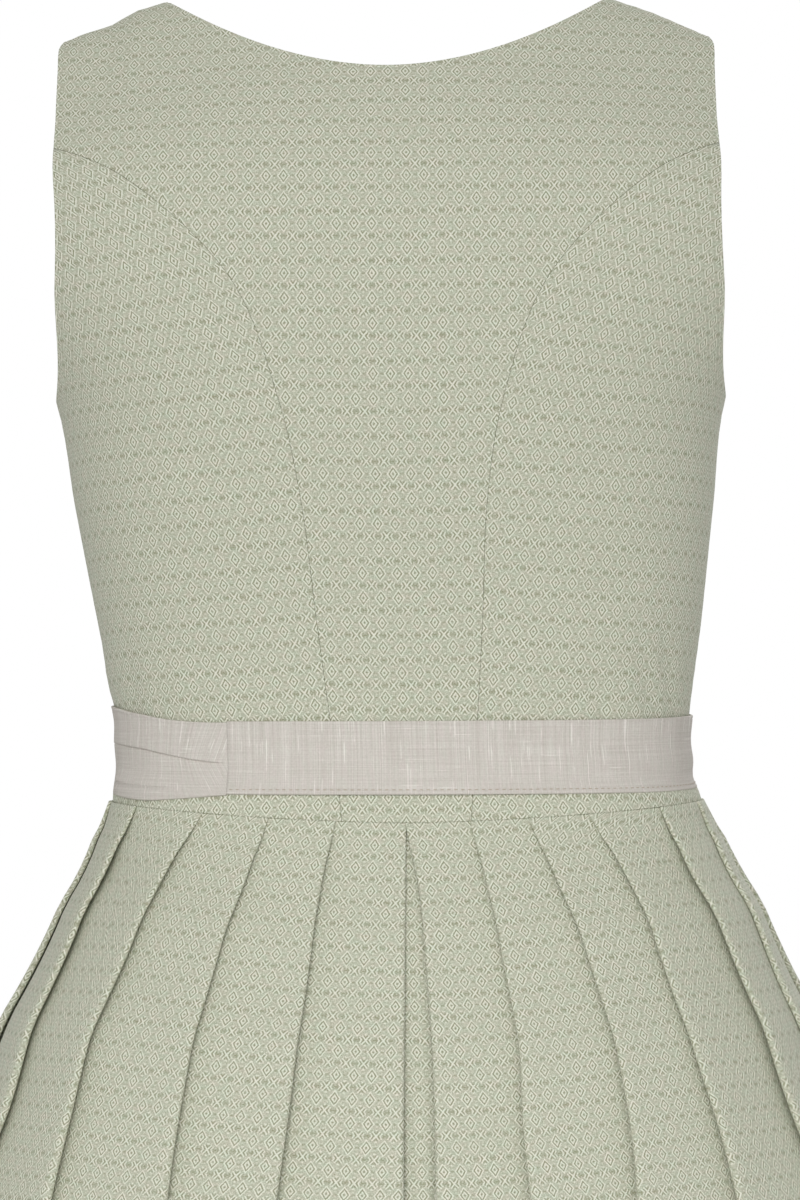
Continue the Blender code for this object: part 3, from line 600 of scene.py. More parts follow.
def cloth(node, points, flat, finish, wall, relief=0.0, centred=False, creases=()):
    """A piece of cloth with its wall, from one grid of points and where each lies in the flat cloth, in metres.

    It stands for the node of the frame. relief moves its outer face; creases move both faces.
    """
    name = node + "_cloth"
    normal = normals_of(points)
    points = leaned(points) + creased(points, normal, creases)[..., None] * normal
    out, inn = (wall / 2, -wall / 2) if centred else (0.0, -wall)
    outer = points + (out + relief)[..., None] * normal if np.ndim(relief) else points + (out + relief) * normal
    inner = points + inn * normal
    rows, columns = points.shape[:2]
    count = rows * columns
    index = np.arange(count).reshape(rows, columns)
    a, b, c, d = index[:-1, :-1], index[:-1, 1:], index[1:, 1:], index[1:, :-1]
    front = np.stack([a, b, c, d], -1).reshape(-1, 4)
    back = np.stack([d, c, b, a], -1).reshape(-1, 4) + count
    rim = np.concatenate([index[0, :-1], index[:-1, -1], index[-1, :0:-1], index[:0:-1, 0]])
    after = np.roll(rim, -1)
    side = np.stack([rim, rim + count, after + count, after], -1)
    faces = np.concatenate([front, back, side])
    mesh = bpy.data.meshes.new(name)
    mesh.vertices.add(2 * count)
    mesh.vertices.foreach_set("co", np.concatenate([outer, inner]).reshape(-1))
    mesh.loops.add(faces.size)
    mesh.loops.foreach_set("vertex_index", faces.reshape(-1))
    mesh.polygons.add(len(faces))
    mesh.polygons.foreach_set("loop_start", np.arange(0, faces.size, 4))
    mesh.polygons.foreach_set("use_smooth", np.ones(len(faces), bool))
    mesh.update(calc_edges=True)
    place = mesh.uv_layers.new(name="cloth")
    flat_grid, flat = flat, flat.reshape(-1, 2)
    place.data.foreach_set("uv", flat[faces.reshape(-1) % count].reshape(-1))
    mesh.materials.append(finish)
    mesh.validate()
    made = bpy.data.objects.new(name, mesh)
    dress.objects.link(made)
    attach(made, "root")
    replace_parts(made, node)
    return made


def tube(made, path, radius, sides, closed=False):
    """Adds a tube with rounded ends along a line of points to a bmesh."""
    along = np.gradient(path, axis=0) if not closed else np.roll(path, -1, 0) - np.roll(path, 1, 0)
    along /= np.linalg.norm(along, axis=1, keepdims=True)
    aside = np.cross(along, (0.31, 0.17, 0.93))
    aside /= np.linalg.norm(aside, axis=1, keepdims=True)
    across = np.cross(along, aside)
    turn = np.arange(sides) * 2 * math.pi / sides
    size = np.full(len(path), radius)
    if not closed:
        size[[0, -1]] *= 0.35
    rings = path[:, None] + size[:, None, None] * (
        np.cos(turn)[None, :, None] * aside[:, None] + np.sin(turn)[None, :, None] * across[:, None])
    corners = [[made.verts.new(point) for point in ring_points] for ring_points in rings.tolist()]
    for k in range(len(corners) - (not closed)):
        after = corners[(k + 1) % len(corners)]
        for j in range(sides):
            i = (j + 1) % sides
            made.faces.new((corners[k][j], corners[k][i], after[i], after[j])).smooth = True
    if not closed:
        made.faces.new(corners[0][::-1])
        made.faces.new(corners[-1])


def stitches(name, line, normal, sizes, finish):
    """A row of sewing stitches along a line on the cloth, each dipping into it at both ends."""
    length, gap, radius = sizes
    run = path_length(line)
    made = bmesh.new()
    for start in np.arange(gap, run[-1] - length, length + gap):
        at = start + np.linspace(0, 1, 5) * length
        path, out = (np.stack([np.interp(at, run, of[:, k]) for k in range(3)], -1) for of in (line, normal))
        rise = np.array([-1.0, 0.5, 0.8, 0.5, -1.0]) * radius
        tube(made, path + rise[:, None] * out, radius, 5)
    return small_piece(name, made, finish)


def small_piece(name, made, finish):
    """An object on the dress that isn't a sheet of cloth, from its bmesh."""
    mesh = bpy.data.meshes.new(name)
    made.to_mesh(mesh)
    made.free()
    mesh.materials.append(finish)
    piece = bpy.data.objects.new(name, mesh)
    dress.objects.link(piece)
    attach(piece, "root")
    return piece


LEAN = 0.0056  # how far the waist and the skirt hang to the wearer's right of the straps
LEAN_FROM, LEAN_TO = -0.17, -0.39
TILT = 0.006  # and how much higher the waist is on the wearer's left, for each metre across


# how far the sides stand out from an even form: at which height, over what reach, on the wearer's left and right
# columns: z, reach, left, right
SIDE_EASE = (
    (-0.055, 0.052, -0.0004, -0.0025),
    (-0.322, 0.015, 0.0019, 0.0002),
    (-0.350, 0.009, 0.0016, -0.0010),
    (-0.372, 0.008, 0.0006, 0.0000),
    (-0.366, 0.006, 0.0000, -0.0024),
    (-0.422, 0.045, -0.0030, 0.0010),
)
# and how far the shoulders sag or rise: at which place across, over what reach
# columns: x, reach, rise
SHOULDER_FROM, SHOULDER_RAMP = -0.060, 0.035  # from this height up, and in how much more it is whole
SHOULDER_EASE = ((0.1320, 0.0080, -0.0013), (0.1190, 0.0070, 0.0008), (-0.1260, 0.0120, 0.0006))


def leaned(points):
    """The dress hangs a little askew below the underarm, and its sides aren't quite even."""
    for z, reach, left, right in SIDE_EASE:
        x = points[..., 0]
        out = np.where(x > 0, left, -right) * np.clip(np.abs(x) / 0.14, 0, 1) ** 2
        out = out * bell(points[..., 2] - z, reach)
        points = points + out[..., None] * np.array((1, 0, 0))
    for x, reach, rise in SHOULDER_EASE:
        up = rise * bell(points[..., 0] - x, reach) * np.clip((points[..., 2] - SHOULDER_FROM) / SHOULDER_RAMP, 0, 1)
        points = points + up[..., None] * np.array((0, 0, 1))
    share = eased((points[..., 2] - LEAN_FROM) / (LEAN_TO - LEAN_FROM))
    moved = np.stack([-LEAN * share, 0 * share, TILT * points[..., 0] * share], -1)
    return points + moved


def whole(half, flat):
    """Both halves of a grid that starts at the centre line, as one grid from the wearer's right to the left."""
    other = half[:, :0:-1] * (-1, 1, 1)
    other_flat = flat[:, :0:-1] * (-1, 1)
    return np.concatenate([other, half], 1), np.concatenate([other_flat, flat], 1)


def across_x(points, flat):
    """The same grid on the other side of the body."""
    return (points * (-1, 1, 1))[:, ::-1], (flat * (-1, 1))[:, ::-1]


# ---------------------------------------------------------------- soft creases
# Each is a straight trough (depth under 0) or ridge on the back (side 1) or the front (side -1) of the dress:
#   x and z at both ends, half of its width, its depth
# columns: x1, z1, x2, z2, half, depth, side
BODICE_CREASES = np.array(
    [
        (0.118, -0.205, 0.070, -0.232, 0.0060, -0.0007, 1),
        (-0.116, -0.212, -0.074, -0.236, 0.0065, -0.0007, 1),
        (0.122, -0.255, 0.086, -0.262, 0.0050, -0.0006, 1),
        (-0.120, -0.270, -0.088, -0.278, 0.0055, -0.0006, 1),
        (0.116, -0.300, 0.078, -0.316, 0.0055, -0.0007, 1),
        (0.127, -0.306, 0.123, -0.338, 0.0030, -0.0009, 1),
        (0.112, -0.312, 0.109, -0.340, 0.0026, -0.0006, 1),
        (0.092, -0.318, 0.091, -0.340, 0.0030, -0.0004, 1),
        (-0.1115, -0.300, -0.1180, -0.345, 0.0023, -0.0020, 1),
        (-0.1235, -0.292, -0.1255, -0.345, 0.0021, -0.0016, 1),
        (-0.0890, -0.312, -0.0920, -0.346, 0.0025, -0.0012, 1),
        (-0.112, -0.318, -0.070, -0.327, 0.0050, -0.0006, 1),
        (0.120, -0.215, 0.080, -0.240, 0.0060, -0.0008, -1),
        (-0.118, -0.208, -0.084, -0.238, 0.0060, -0.0008, -1),
        (0.110, -0.290, 0.066, -0.312, 0.0055, -0.0008, -1),
        (-0.112, -0.300, -0.070, -0.318, 0.0055, -0.0008, -1),
    ]
)


def creased(points, normal, table):
    """How far creases move each point along its normal."""
    moved = np.zeros(points.shape[:2])
    for x1, z1, x2, z2, half, depth, side in table:
        start, step = np.array((x1, z1)), np.array((x2 - x1, z2 - z1))
        gap = points[..., (0, 2)] - start
        along = (gap * step).sum(-1) / (step**2).sum()
        past = np.maximum(np.abs(along - 0.5) - 0.5, 0) * np.linalg.norm(step)
        across = np.abs(gap[..., 0] * step[1] - gap[..., 1] * step[0]) / np.linalg.norm(step)
        taper = bell(past, 2.5 * half) * bell(along - 0.5, 0.45)
        facing = np.clip(side * normal[..., 1] * 3, 0, 1)
        moved += depth * bell(across, half) * taper * facing
    return moved


# ---------------------------------------------------------------- bodice
GRAIN_LEAN = 0.11  # the side panels' grain leans in towards the waist


def from_waist(station, angle, from_back):
    """Where a point lies in the flat cloth: across from the centre line, and up from the waist seam."""
    up = sampled(UP, station, angle)
    if not from_back:
        up = sampled(UP, np.full_like(station, LAST_STATION), angle) - up
    return np.stack([sampled(ACROSS, station, angle), up], -1)


def back_centre_half():
    """Stations and angles of half of the centre back, and which of its columns end at the neckline."""
    stations = np.linspace(0, SHOULDER_STATION, 401)
    edge = clear_of_seam(stations[:, None], seam_angle(stations)[:, None])[:, 0]
    width = sampled(ACROSS, stations, edge)
    angle = angle_at(stations[:, None], spread(width, EDGE_STEPS[:1], EDGE_STEPS, 34))
    points = body(stations[:, None], angle)
    above = points[..., 2] - neckline(points[..., 0], True)
    above[stations < 6] = -1
    station_grid, angle_grid, on_neck = [], [], []
    for j in range(angle.shape[1]):
        crossed = np.flatnonzero(above[:, j] > 0)
        top = SHOULDER_STATION - float(shoulder_gap(angle[-1, j]))
        if len(crossed):
            k = crossed[0]
            top = min(top, float(np.interp(0, above[k - 1 : k + 1, j], stations[k - 1 : k + 1])))
        on_neck.append(len(crossed) > 0)
        length = running_length(points[:, j], 0)
        rows = spread(np.interp(top, stations, length), EDGE_STEPS, EDGE_STEPS, 78)
        column = np.interp(rows, length, stations)
        station_grid.append(column)
        angle_grid.append(np.interp(column, stations, angle[:, j]))
    station, angle = np.stack(station_grid, 1), np.stack(angle_grid, 1)
    return station, angle, np.array(on_neck)


TIP_LEFT = 0.01  # stations by which a side panel's cloth stops short of its point


def side_rows(meet):
    """Stations of a side panel's rows, closer where the armhole curves round."""
    low = np.interp(spread(1.0, EDGE_STEPS * 5, EDGE_STEPS[:1], 44), [0, 1], [0, UNDERARM_STATION])
    turn = np.linspace(0, 1, 40)[1:]
    reach = math.acos(1 - (meet - TIP_LEFT - UNDERARM_STATION) / (ARMHOLE_WIDEST - UNDERARM_STATION))
    return np.concatenate([low, UNDERARM_STATION + (ARMHOLE_WIDEST - UNDERARM_STATION) * (1 - np.cos(turn * reach))])


def side_grid(from_back):
    """Stations and angles of a side panel, from the princess seam to the side seam and the armhole."""
    rows = side_rows(seam_meets_armhole(from_back))
    station = rows if from_back else LAST_STATION - rows
    inner = seam_angle(station) + seam_half_gap(station, seam_angle)
    outer = armhole_angle(station)
    outer = outer - np.where(outer > math.radians(90) - 1e-6, 0.6 * SEAM_GAP / sideways(station, outer), 0)
    first = sampled(ACROSS, station, inner)
    width = sampled(ACROSS, station, outer) - first
    angle = angle_at(station[:, None], first[:, None] + spread(width, EDGE_STEPS, EDGE_STEPS, 26))
    return np.repeat(station[:, None], angle.shape[1], 1), angle, rows


def build_side(name, from_back, on_left, finish):
    station, angle, rows = side_grid(from_back)
    points = body(station, angle)
    flat = from_waist(station, angle, from_back)
    full = sampled(ACROSS, station[:, 0], np.full(len(station), math.pi / 2))[:, None]
    middle = (flat[:, :1, 0] + full) / 2
    flat = np.stack([flat[..., 0] - middle, flat[..., 1] + GRAIN_LEAN * (flat[..., 0] - middle)], -1)
    at_side = rows <= UNDERARM_STATION
    seams = [points[:, 0], points[at_side, -1]]
    edges = [points[~at_side, -1]]
    relief = sewn_relief(points, edges, seams)
    # columns run to the right as seen from outside
    if from_back:
        points, flat, relief = points[:, ::-1], flat[:, ::-1], relief[:, ::-1]
    if not on_left:
        (points, flat), relief = across_x(points, flat), relief[:, ::-1]
    cloth(name, points, flat, finish, BODICE_WALL, relief, creases=BODICE_CREASES)


def build_back(finish):
    station, angle, on_neck = back_centre_half()
    half = body(station, angle)
    in_seam = seam_angle(station[:, -1]) < armhole_angle(station[:, -1]) - 1e-5
    neck = half[-1, on_neck]
    edges = [neck, half[~in_seam, -1]]
    seams = [half[in_seam, -1], half[-1, ~on_neck]]
    relief = sewn_relief(half, edges, seams)
    flat = from_waist(station, angle, True)
    points, flat = whole(half, flat)
    relief = np.concatenate([relief[:, :0:-1], relief], 1)
    # the wearer's left is on the left as seen from the back
    cloth("back_centre", points[:, ::-1], flat[:, ::-1], finish, BODICE_WALL, relief[:, ::-1],
          creases=BODICE_CREASES)


def front_centre_grid():
    """Stations, angles and rows of a centre front, from its lap and the neckline to the seam and the armhole."""
    fine = np.linspace(0, SHOULDER_STATION, 1601)
    station = LAST_STATION - fine
    edge = seam_angle(station)

    def in_cloth(turn):
        points = body(station, turn)
        return neckline(points[..., 0], False) - points[..., 2]

    neck = solve(np.zeros_like(edge), edge, in_cloth)
    neck_x = body(station, neck)[..., 0]
    foot = neck_foot(False)
    above = fine > foot
    wanted = np.linspace(0.012, NECK_HALF_WIDTH, 40)
    rows_above = np.interp(wanted, neck_x[above], fine[above])
    rows_above = np.concatenate([[foot + 0.004], rows_above[rows_above > foot + 0.006], [SHOULDER_STATION - 0.012]])
    low = spread(1.0, EDGE_STEPS * 5, EDGE_STEPS * 5, 70)
    rows = np.unique(np.round(np.concatenate([low * foot, rows_above]), 6))
    station = LAST_STATION - rows
    edge = clear_of_seam(station[:, None], seam_angle(station)[:, None])[:, 0]
    neck = np.interp(rows, fine, neck)
    first = np.where(rows <= foot + 1e-6, -FRONT_LAP, sampled(ACROSS, station, neck))
    width = sampled(ACROSS, station, edge) - first
    across = first[:, None] + spread(width, EDGE_STEPS, EDGE_STEPS, 40)
    angle = np.where(across > 0, angle_at(station[:, None], np.maximum(across, 0)),
                     across / sideways(station, np.zeros_like(station))[:, None])
    return np.repeat(station[:, None], angle.shape[1], 1), angle, rows, across


def build_front(finish):
    station, angle, rows, across = front_centre_grid()
    points = body(station, angle)
    flat = from_waist(station, np.maximum(angle, 0), False)
    flat[..., 0] = across
    foot = np.flatnonzero(rows < neck_foot(False) + 1e-6)[-1]
    in_seam = seam_angle(station[:, -1]) < armhole_angle(station[:, -1]) - 1e-5
    lap = points[: foot + 1, 0]
    edges = [np.concatenate([lap, points[foot + 1 :, 0]]), points[~in_seam, -1]]
    seams = [points[in_seam, -1], points[-1]]
    relief = sewn_relief(points, edges, seams)
    for name, upper in (("front_centre_left", False), ("front_centre_right", True)):
        place, cut, out = points, flat, relief
        if upper:
            (place, cut), out = across_x(points, flat), relief[:, ::-1]
            lift = lap_lift(place[..., 0])
            fade = np.clip(1 - (rows - rows[foot]) / 0.35, 0, 1)[:, None]
            lift = np.where(np.arange(len(rows))[:, None] > foot, np.maximum(lift[foot] * fade, 0), lift)
            place = place - lift[..., None] * np.array((0, 1, 0))
        cloth(name, place, cut, finish, BODICE_WALL, out, creases=BODICE_CREASES)
        if upper:
            upper_front = place
    return upper_front, foot


# ---------------------------------------------------------------- skirt
SKIRT_ROWS = 84
FACE_POINTS = 14
# How far each fold edge lies from its even place, in mm round the skirt: one row a fold from the centre back,
# one column a distance down from the waist seam, for the left and the right as seen from the back.
FOLD_DOWN = (0.0, 0.03, 0.06, 0.10, 0.14, 0.18)
FOLD_SHIFT = np.array(
    [
        [
            (0.0, 0.5, 1.0, 1.5, 2.0, 2.0),
            (0.0, 3.0, 3.0, 3.0, 3.0, 3.5),
            (-1.0, 3.0, 5.5, 5.0, 1.5, -4.5),
            (-0.5, 8.5, 10.5, 10.5, 4.0, -4.0),
            (8.0, 13.5, 13.0, 9.0, -2.0, -2.5),
            (15.0, 20.0, 21.0, 18.0, 15.0, 11.0),
        ],
        [
            (-1.0, 3.0, 3.5, 3.0, 1.0, -2.5),
            (-3.5, -1.5, -1.5, -2.5, -8.5, -12.5),
            (-9.0, -5.0, -3.0, -3.5, -8.5, -18.5),
            (-12.5, -7.5, -8.5, -11.5, -14.0, -21.0),
            (-5.5, -7.5, -8.0, -11.0, -17.5, -21.0),
            (-3.5, -10.5, -13.5, -22.5, -24.0, -24.0),
        ],
    ]
)
FACE_FLAT = 0.5  # how flat the pleats' faces lie, from this far below the waist seam
FACE_FLAT_FROM = 0.030
FLAT_FACES = 4  # on each side of the centre back
WANDER = 0.0018  # how far a fold edge strays from its straight run, at the hem
UNDERLAY_CLEAR = 0.0006  # behind the two middle folds
HEM_TURN = 0.040  # the hem's stitching above the edge, with its depth and half of its width
HEM_LINE = (0.0002, 0.0012)
HEM_ROLL = 0.0005


def fold_place(even, k, down, side):
    """Where a fold edge lies: its even place, its own shift, and a slow wander down its length."""
    last = FOLD_SHIFT.shape[1] - 1
    row = np.interp(down, FOLD_DOWN, np.arange(len(FOLD_DOWN)))
    shift = 0.001 * interpolate(FOLD_SHIFT[side, min(k, last)][:, None], row)[0] * 0.5 ** max(0, k - last)
    turn = down / 0.11 + 1.9 * k + 2.6 * side
    stray = WANDER * min(down / 0.35, 1) * (math.sin(turn) + 0.5 * math.sin(2.3 * turn + k))
    return even + shift + (stray if k else 0)


def pleated_half(down, side):
    """Half of the skirt's section: the ring, the cloth's path round and out from it, the length along the cloth, the
    last point before the side seam, and where each pleat's face begins and ends."""
    _, half_width, back, front, rise_back, rise_side, roll, centre_gap, square = skirt_level(down)
    made = ring(half_width, back, front, square)
    length = made[1][-1]
    pitch = (length - centre_gap / 2) / FOLDS_PER_HALF
    folds = [fold_place(centre_gap / 2 + k * pitch, k, down, side) for k in range(FOLDS_PER_HALF)]
    circles = [(0.0, -(2 * roll + SKIRT_WALL + UNDERLAY_CLEAR), 0.0, 1)]
    for k, fold in enumerate(folds):
        sideness = math.sin(math.pi * fold / length)
        rise = rise_back + (rise_side - rise_back) * sideness**2
        before = fold - folds[k - 1] if k else pitch
        circles += fold_circles(fold, tuck_for(before, rise, roll), rise, roll)
    circles.append((length, 0.0, 0.0, 1))
    starts, ends, heads = belt(circles)
    parts = [starts[0][None], starts[0] + np.linspace(0, 1, 6)[1:-1, None] * (ends[0] - starts[0])]
    faces = []
    for k in range(1, len(circles) - 1):
        parts.append(turned(circles[k], heads[k - 1], heads[k], 7))
        if k % 2 == 0:
            first = sum(len(part) for part in parts) - 1
            faces.append((first, first + FACE_POINTS + 1))
        between = np.linspace(0, 1, FACE_POINTS + 2)[1:-1] if k % 2 == 0 else np.linspace(0, 1, 5)[1:-1]
        parts.append(starts[k] + between[:, None] * (ends[k] - starts[k]))
    parts.append(ends[-1][None])
    seam_after = sum(len(p) for p in parts[: 4 + 4 * SIDE_SEAM_FOLD]) - 1
    path = np.concatenate(parts)
    return made, path, path_length(path), seam_after, faces


def flattened(place, faces, down):
    """Pressed pleats: each face lies nearer to a straight line from fold to fold than the ring does."""
    share = FACE_FLAT * np.clip(down / FACE_FLAT_FROM, 0, 1)
    for first, last in faces[:FLAT_FACES]:
        along = path_length(place[first : last + 1])
        along = (along / along[-1])[:, None]
        straight = place[first] + along * (place[last] - place[first])
        place[first : last + 1] += share * (straight - place[first : last + 1])
    return place


DRIFT = 0.0064  # how far the centre back opening hangs to the wearer's right, this far down, and over what reach
DRIFT_DOWN = 0.177
DRIFT_REACH = 0.10


def skirt_half(side):
    """Points, cloth lengths and the side seam's column of half the skirt, from the waist seam down."""
    levels = np.concatenate([[0.0, 0.0012, 0.0026, 0.0045], np.linspace(0.0045, 1, SKIRT_ROWS - 3)[1:] ** 1.15])
    levels = np.unique(levels)
    sections, lengths, unfolded = [], [], []
    for level in levels:
        down = level * SKIRT_LENGTH
        made, path, length, seam_after, faces = pleated_half(down, side)
        place, sideness = on_ring(made, path[:, 0], path[:, 1])
        place = flattened(place, faces, down)
        height = skirt_height(level, sideness)
        sections.append(np.column_stack([place, height]))
        unfolded.append(np.column_stack([on_ring(made, np.maximum(path[:, 0], 0), 0 * path[:, 1])[0], height]))
        lengths.append(length)
    points = np.stack(sections)[::-1]
    down_cloth = running_length(np.stack(unfolded), 0)[::-1]
    flat = np.stack([np.stack(lengths)[::-1], -down_cloth], -1)
    return points, flat, seam_after


def drifted(points):
    """The middle of the back hangs a little to the wearer's right as it falls."""
    down = np.clip(WAIST_SEAM - points[..., 2], 0, 0.3)
    near = bell(points[..., 0], DRIFT_REACH) * (points[..., 1] > 0)
    shift = DRIFT * down / DRIFT_DOWN * near
    return points - shift[..., None] * np.array((1, 0, 0))


def build_skirt(finish):
    """Both widths of the skirt, parted at the side seams."""
    halves = [skirt_half(side) for side in (0, 1)]
    pieces = {}
    for side, (points, flat, last) in enumerate(halves):
        middle = (points[:, last] + points[:, last + 1]) / 2
        along = points[:, last + 1] - points[:, last]
        along *= 0.7 * SEAM_GAP / np.linalg.norm(along, axis=-1, keepdims=True)
        mid_flat = (flat[:, last] + flat[:, last + 1]) / 2
        back = np.concatenate([points[:, : last + 1], (middle - along)[:, None]], 1)
        front = np.concatenate([(middle + along)[:, None], points[:, last + 1 :]], 1)
        back_flat = np.concatenate([flat[:, : last + 1], mid_flat[:, None]], 1)
        front_flat = np.concatenate([mid_flat[:, None], flat[:, last + 1 :]], 1)
        pieces[side] = (back, back_flat, front, front_flat)
    left_back, left_flat, left_front, left_front_flat = pieces[0]
    right_back, right_flat, right_front, right_front_flat = pieces[1]
    back = np.concatenate([left_back[:, :0:-1], right_back * (-1, 1, 1)], 1)
    back_flat = np.concatenate([left_flat[:, :0:-1] * (-1, 1), right_flat], 1)
    front = np.concatenate([(right_front * (-1, 1, 1))[:, :-1], left_front[:, ::-1]], 1)
    middle = right_front_flat[:, -1:] + left_front_flat[:, -1:]
    front_flat = np.concatenate([right_front_flat[:, :-1], middle * (1, 0) + left_front_flat[:, ::-1] * (-1, 1)], 1)
    for name, points, flat in (("skirt_back", back, back_flat), ("skirt_front", front, front_flat)):
        from_hem = flat[..., 1] - flat[:1, :, 1]
        relief = -rounded(from_hem, HEM_ROLL) - HEM_LINE[0] * bell(from_hem - HEM_TURN, HEM_LINE[1])
        cloth(name, drifted(points), flat, finish, SKIRT_WALL, relief, centred=True)


# ---------------------------------------------------------------- apron
BAND_ROWS = 30
# The tie beside the join: degrees round from the centre back, how far its lower and upper edges lie from the band's,
# and how far up it the tuck lies.
# columns: degrees, low, high, tuck
TIE_EDGES = np.array(
    [
        (35.5, -0.0004, -0.0027, 0.44),
        (41.5, -0.0014, -0.0026, 0.48),
        (52.0, -0.0028, -0.0014, 0.56),
        (61.0, -0.0034, 0.0008, 0.60),
        (81.0, -0.0016, 0.0038, 0.59),
        (95.0, -0.0006, 0.0040, 0.56),
        (125.0, 0.0006, 0.0024, 0.52),
        (156.0, 0.0010, -0.0010, 0.50),
    ]
)
TUCK_STEP = 0.0010  # how far the upper part stands out where it folds over the lower one
TUCK_FLAT = (88.0, 15.0, 0.80)  # at the wearer's side it is drawn flat: where, over how many degrees, by how much
THIN = 0.0004  # and how much its outer face is drawn in there
TUCK_FALL = 0.75  # share of the step that is gone at the upper edge
TUCK_ENDS = (8.0, 4.0)  # degrees in which the tuck ends before the knot and beside the join
TUCK_ROLL = 0.0005  # radius of its fold
TUCK_CREASE = (0.00035, 0.0006)  # depth and reach of the crease under it
TUCK_DIP = 0.0026  # depth of the soft fold near the lower edge, and its half widths above and below
TUCK_DIP_UP = (0.0054, 0.0060)  # above the lower edge where it begins and ends
TUCK_DIP_HALF = (0.0007, 0.0012)
TUCK_DIP_SWELL = (0.6, 0.006)  # the cloth swells on both sides of it: share of the depth, reach
TUCK_DIP_TURN = (51.0, 58.0, 78.0, 86.0)  # degrees at which it begins, is deep, begins to fade and ends
SLANT = (0.62, 0.38)  # by how much the threads slant beside the join, below the tuck and above it
SLANT_AT, SLANT_REACH = 37.0, 10.0  # degrees
JOIN_GAP = 0.00004
JOIN_RADIUS = 0.11  # from the body's axis
HEM_STITCH = (0.0020, 0.0012, 0.00015)  # a stitch's length, the gap after it, and its radius
# The band's own edges: degrees round from the centre back, how far its lower and upper edges lie from even.
# columns: degrees, low, high
BAND_EDGES = np.array(
    [
        (-201.0, 0.0000, 0.0000),
        (-125.0, 0.0005, 0.0000),
        (-92.0, 0.0011, -0.0010),
        (-76.0, 0.0006, -0.0014),
        (-55.0, 0.0000, -0.0019),
        (35.5, 0.0000, -0.0021),
    ]
)


def band_grid(turn, low, high, middle=None):
    """A grid round the waist between two heights; its rows crowd at the edges and at middle."""
    if middle is None:
        up = low[:, None] + spread(high - low, EDGE_STEPS, EDGE_STEPS, BAND_ROWS)
    else:
        below = spread(middle - low, EDGE_STEPS, EDGE_STEPS, BAND_ROWS)
        above = spread(high - middle, EDGE_STEPS[1:], EDGE_STEPS, BAND_ROWS)
        up = np.concatenate([low[:, None] + below, middle[:, None] + above], -1)
    z = up.T
    turn = np.repeat(turn[None], len(z), 0)
    points = waist_point(turn, z, band_out(turn))
    along = running_length(points[len(z) // 2 :][:1], 1)[0]
    return points, np.stack([np.repeat(along[None], len(z), 0), z - BAND_BOTTOM], -1)


def build_band(finish, thread):
    """The apron's band round the back, with a stitched lower edge, and the tie sewn to it, which has a tuck."""
    knot = 180 - KNOT_FROM_FRONT
    gap = math.degrees(JOIN_GAP / 2 / JOIN_RADIUS)
    turn = np.radians(np.linspace(knot - 360 + KNOT_TURN, BAND_JOIN - gap, 420))
    _, low, high = row_at(BAND_EDGES, np.degrees(turn)).T
    points, flat = band_grid(turn, BAND_BOTTOM + low, BAND_TOP + high)
    edges, seams = [points[0], points[-1]], [points[:, 0]]
    points, flat = points[:, ::-1], flat[:, ::-1] * (-1, 1)
    relief = sewn_relief(points, edges, seams)
    normal = normals_of(points)
    at = len(EDGE_STEPS) - 4
    row = leaned(points[at]) + (relief[at] + 0.00002)[:, None] * normal[at]
    sewn = stitches("band_stitches", row, normal[at], HEM_STITCH, thread)
    cloth("apron_band", points, flat, finish, LINEN_WALL, relief)

    degrees = np.linspace(BAND_JOIN + gap, knot - KNOT_TURN, 300)
    _, low, high, tuck = row_at(TIE_EDGES, degrees).T
    low, high = BAND_BOTTOM + low, BAND_TOP + high
    middle = low + tuck * (high - low)
    points, flat = band_grid(np.radians(degrees), low, high, middle)
    relief = sewn_relief(points, [points[0], points[-1]], [points[:, -1]])
    past = points[..., 2] - middle
    at_side = bell(degrees - TUCK_FLAT[0], TUCK_FLAT[1])
    before_knot, past_join = (knot - KNOT_TURN - degrees) / TUCK_ENDS[0], (degrees - BAND_JOIN) / TUCK_ENDS[1] + 0.05
    ending = np.clip(before_knot, 0, 1) * np.clip(past_join, 0, 1) * (1 - TUCK_FLAT[2] * at_side)
    over = TUCK_STEP * (1 - TUCK_FALL * np.clip(past / (high - middle), 0, 1))
    over = over - rounded(np.maximum(past, 0), TUCK_ROLL)
    under = -TUCK_CREASE[0] * bell(past, TUCK_CREASE[1])
    dip_at = low + np.interp(degrees, (TUCK_DIP_TURN[0], TUCK_DIP_TURN[-1]), TUCK_DIP_UP)
    from_dip = points[..., 2] - dip_at
    swell, reach = TUCK_DIP_SWELL
    dip = bell(from_dip, np.where(from_dip > 0, *TUCK_DIP_HALF)) - swell * bell(from_dip, reach)
    dip = TUCK_DIP * dip * np.interp(degrees, TUCK_DIP_TURN, (0, 1, 1, 0))
    relief = relief + ending * np.where(past > 0, over, under) - dip - THIN * at_side
    near = bell(degrees - SLANT_AT, SLANT_REACH)
    flat[..., 0] += near * (SLANT[0] * np.maximum(-past, 0) + SLANT[1] * np.maximum(past, 0))
    points, flat, relief = points[:, ::-1], flat[:, ::-1] * (-1, 1), relief[:, ::-1]
    cloth("apron_tie", points, flat, finish, LINEN_WALL, relief)


APRON_CUT = 0.80  # width of the apron's cloth before it is gathered


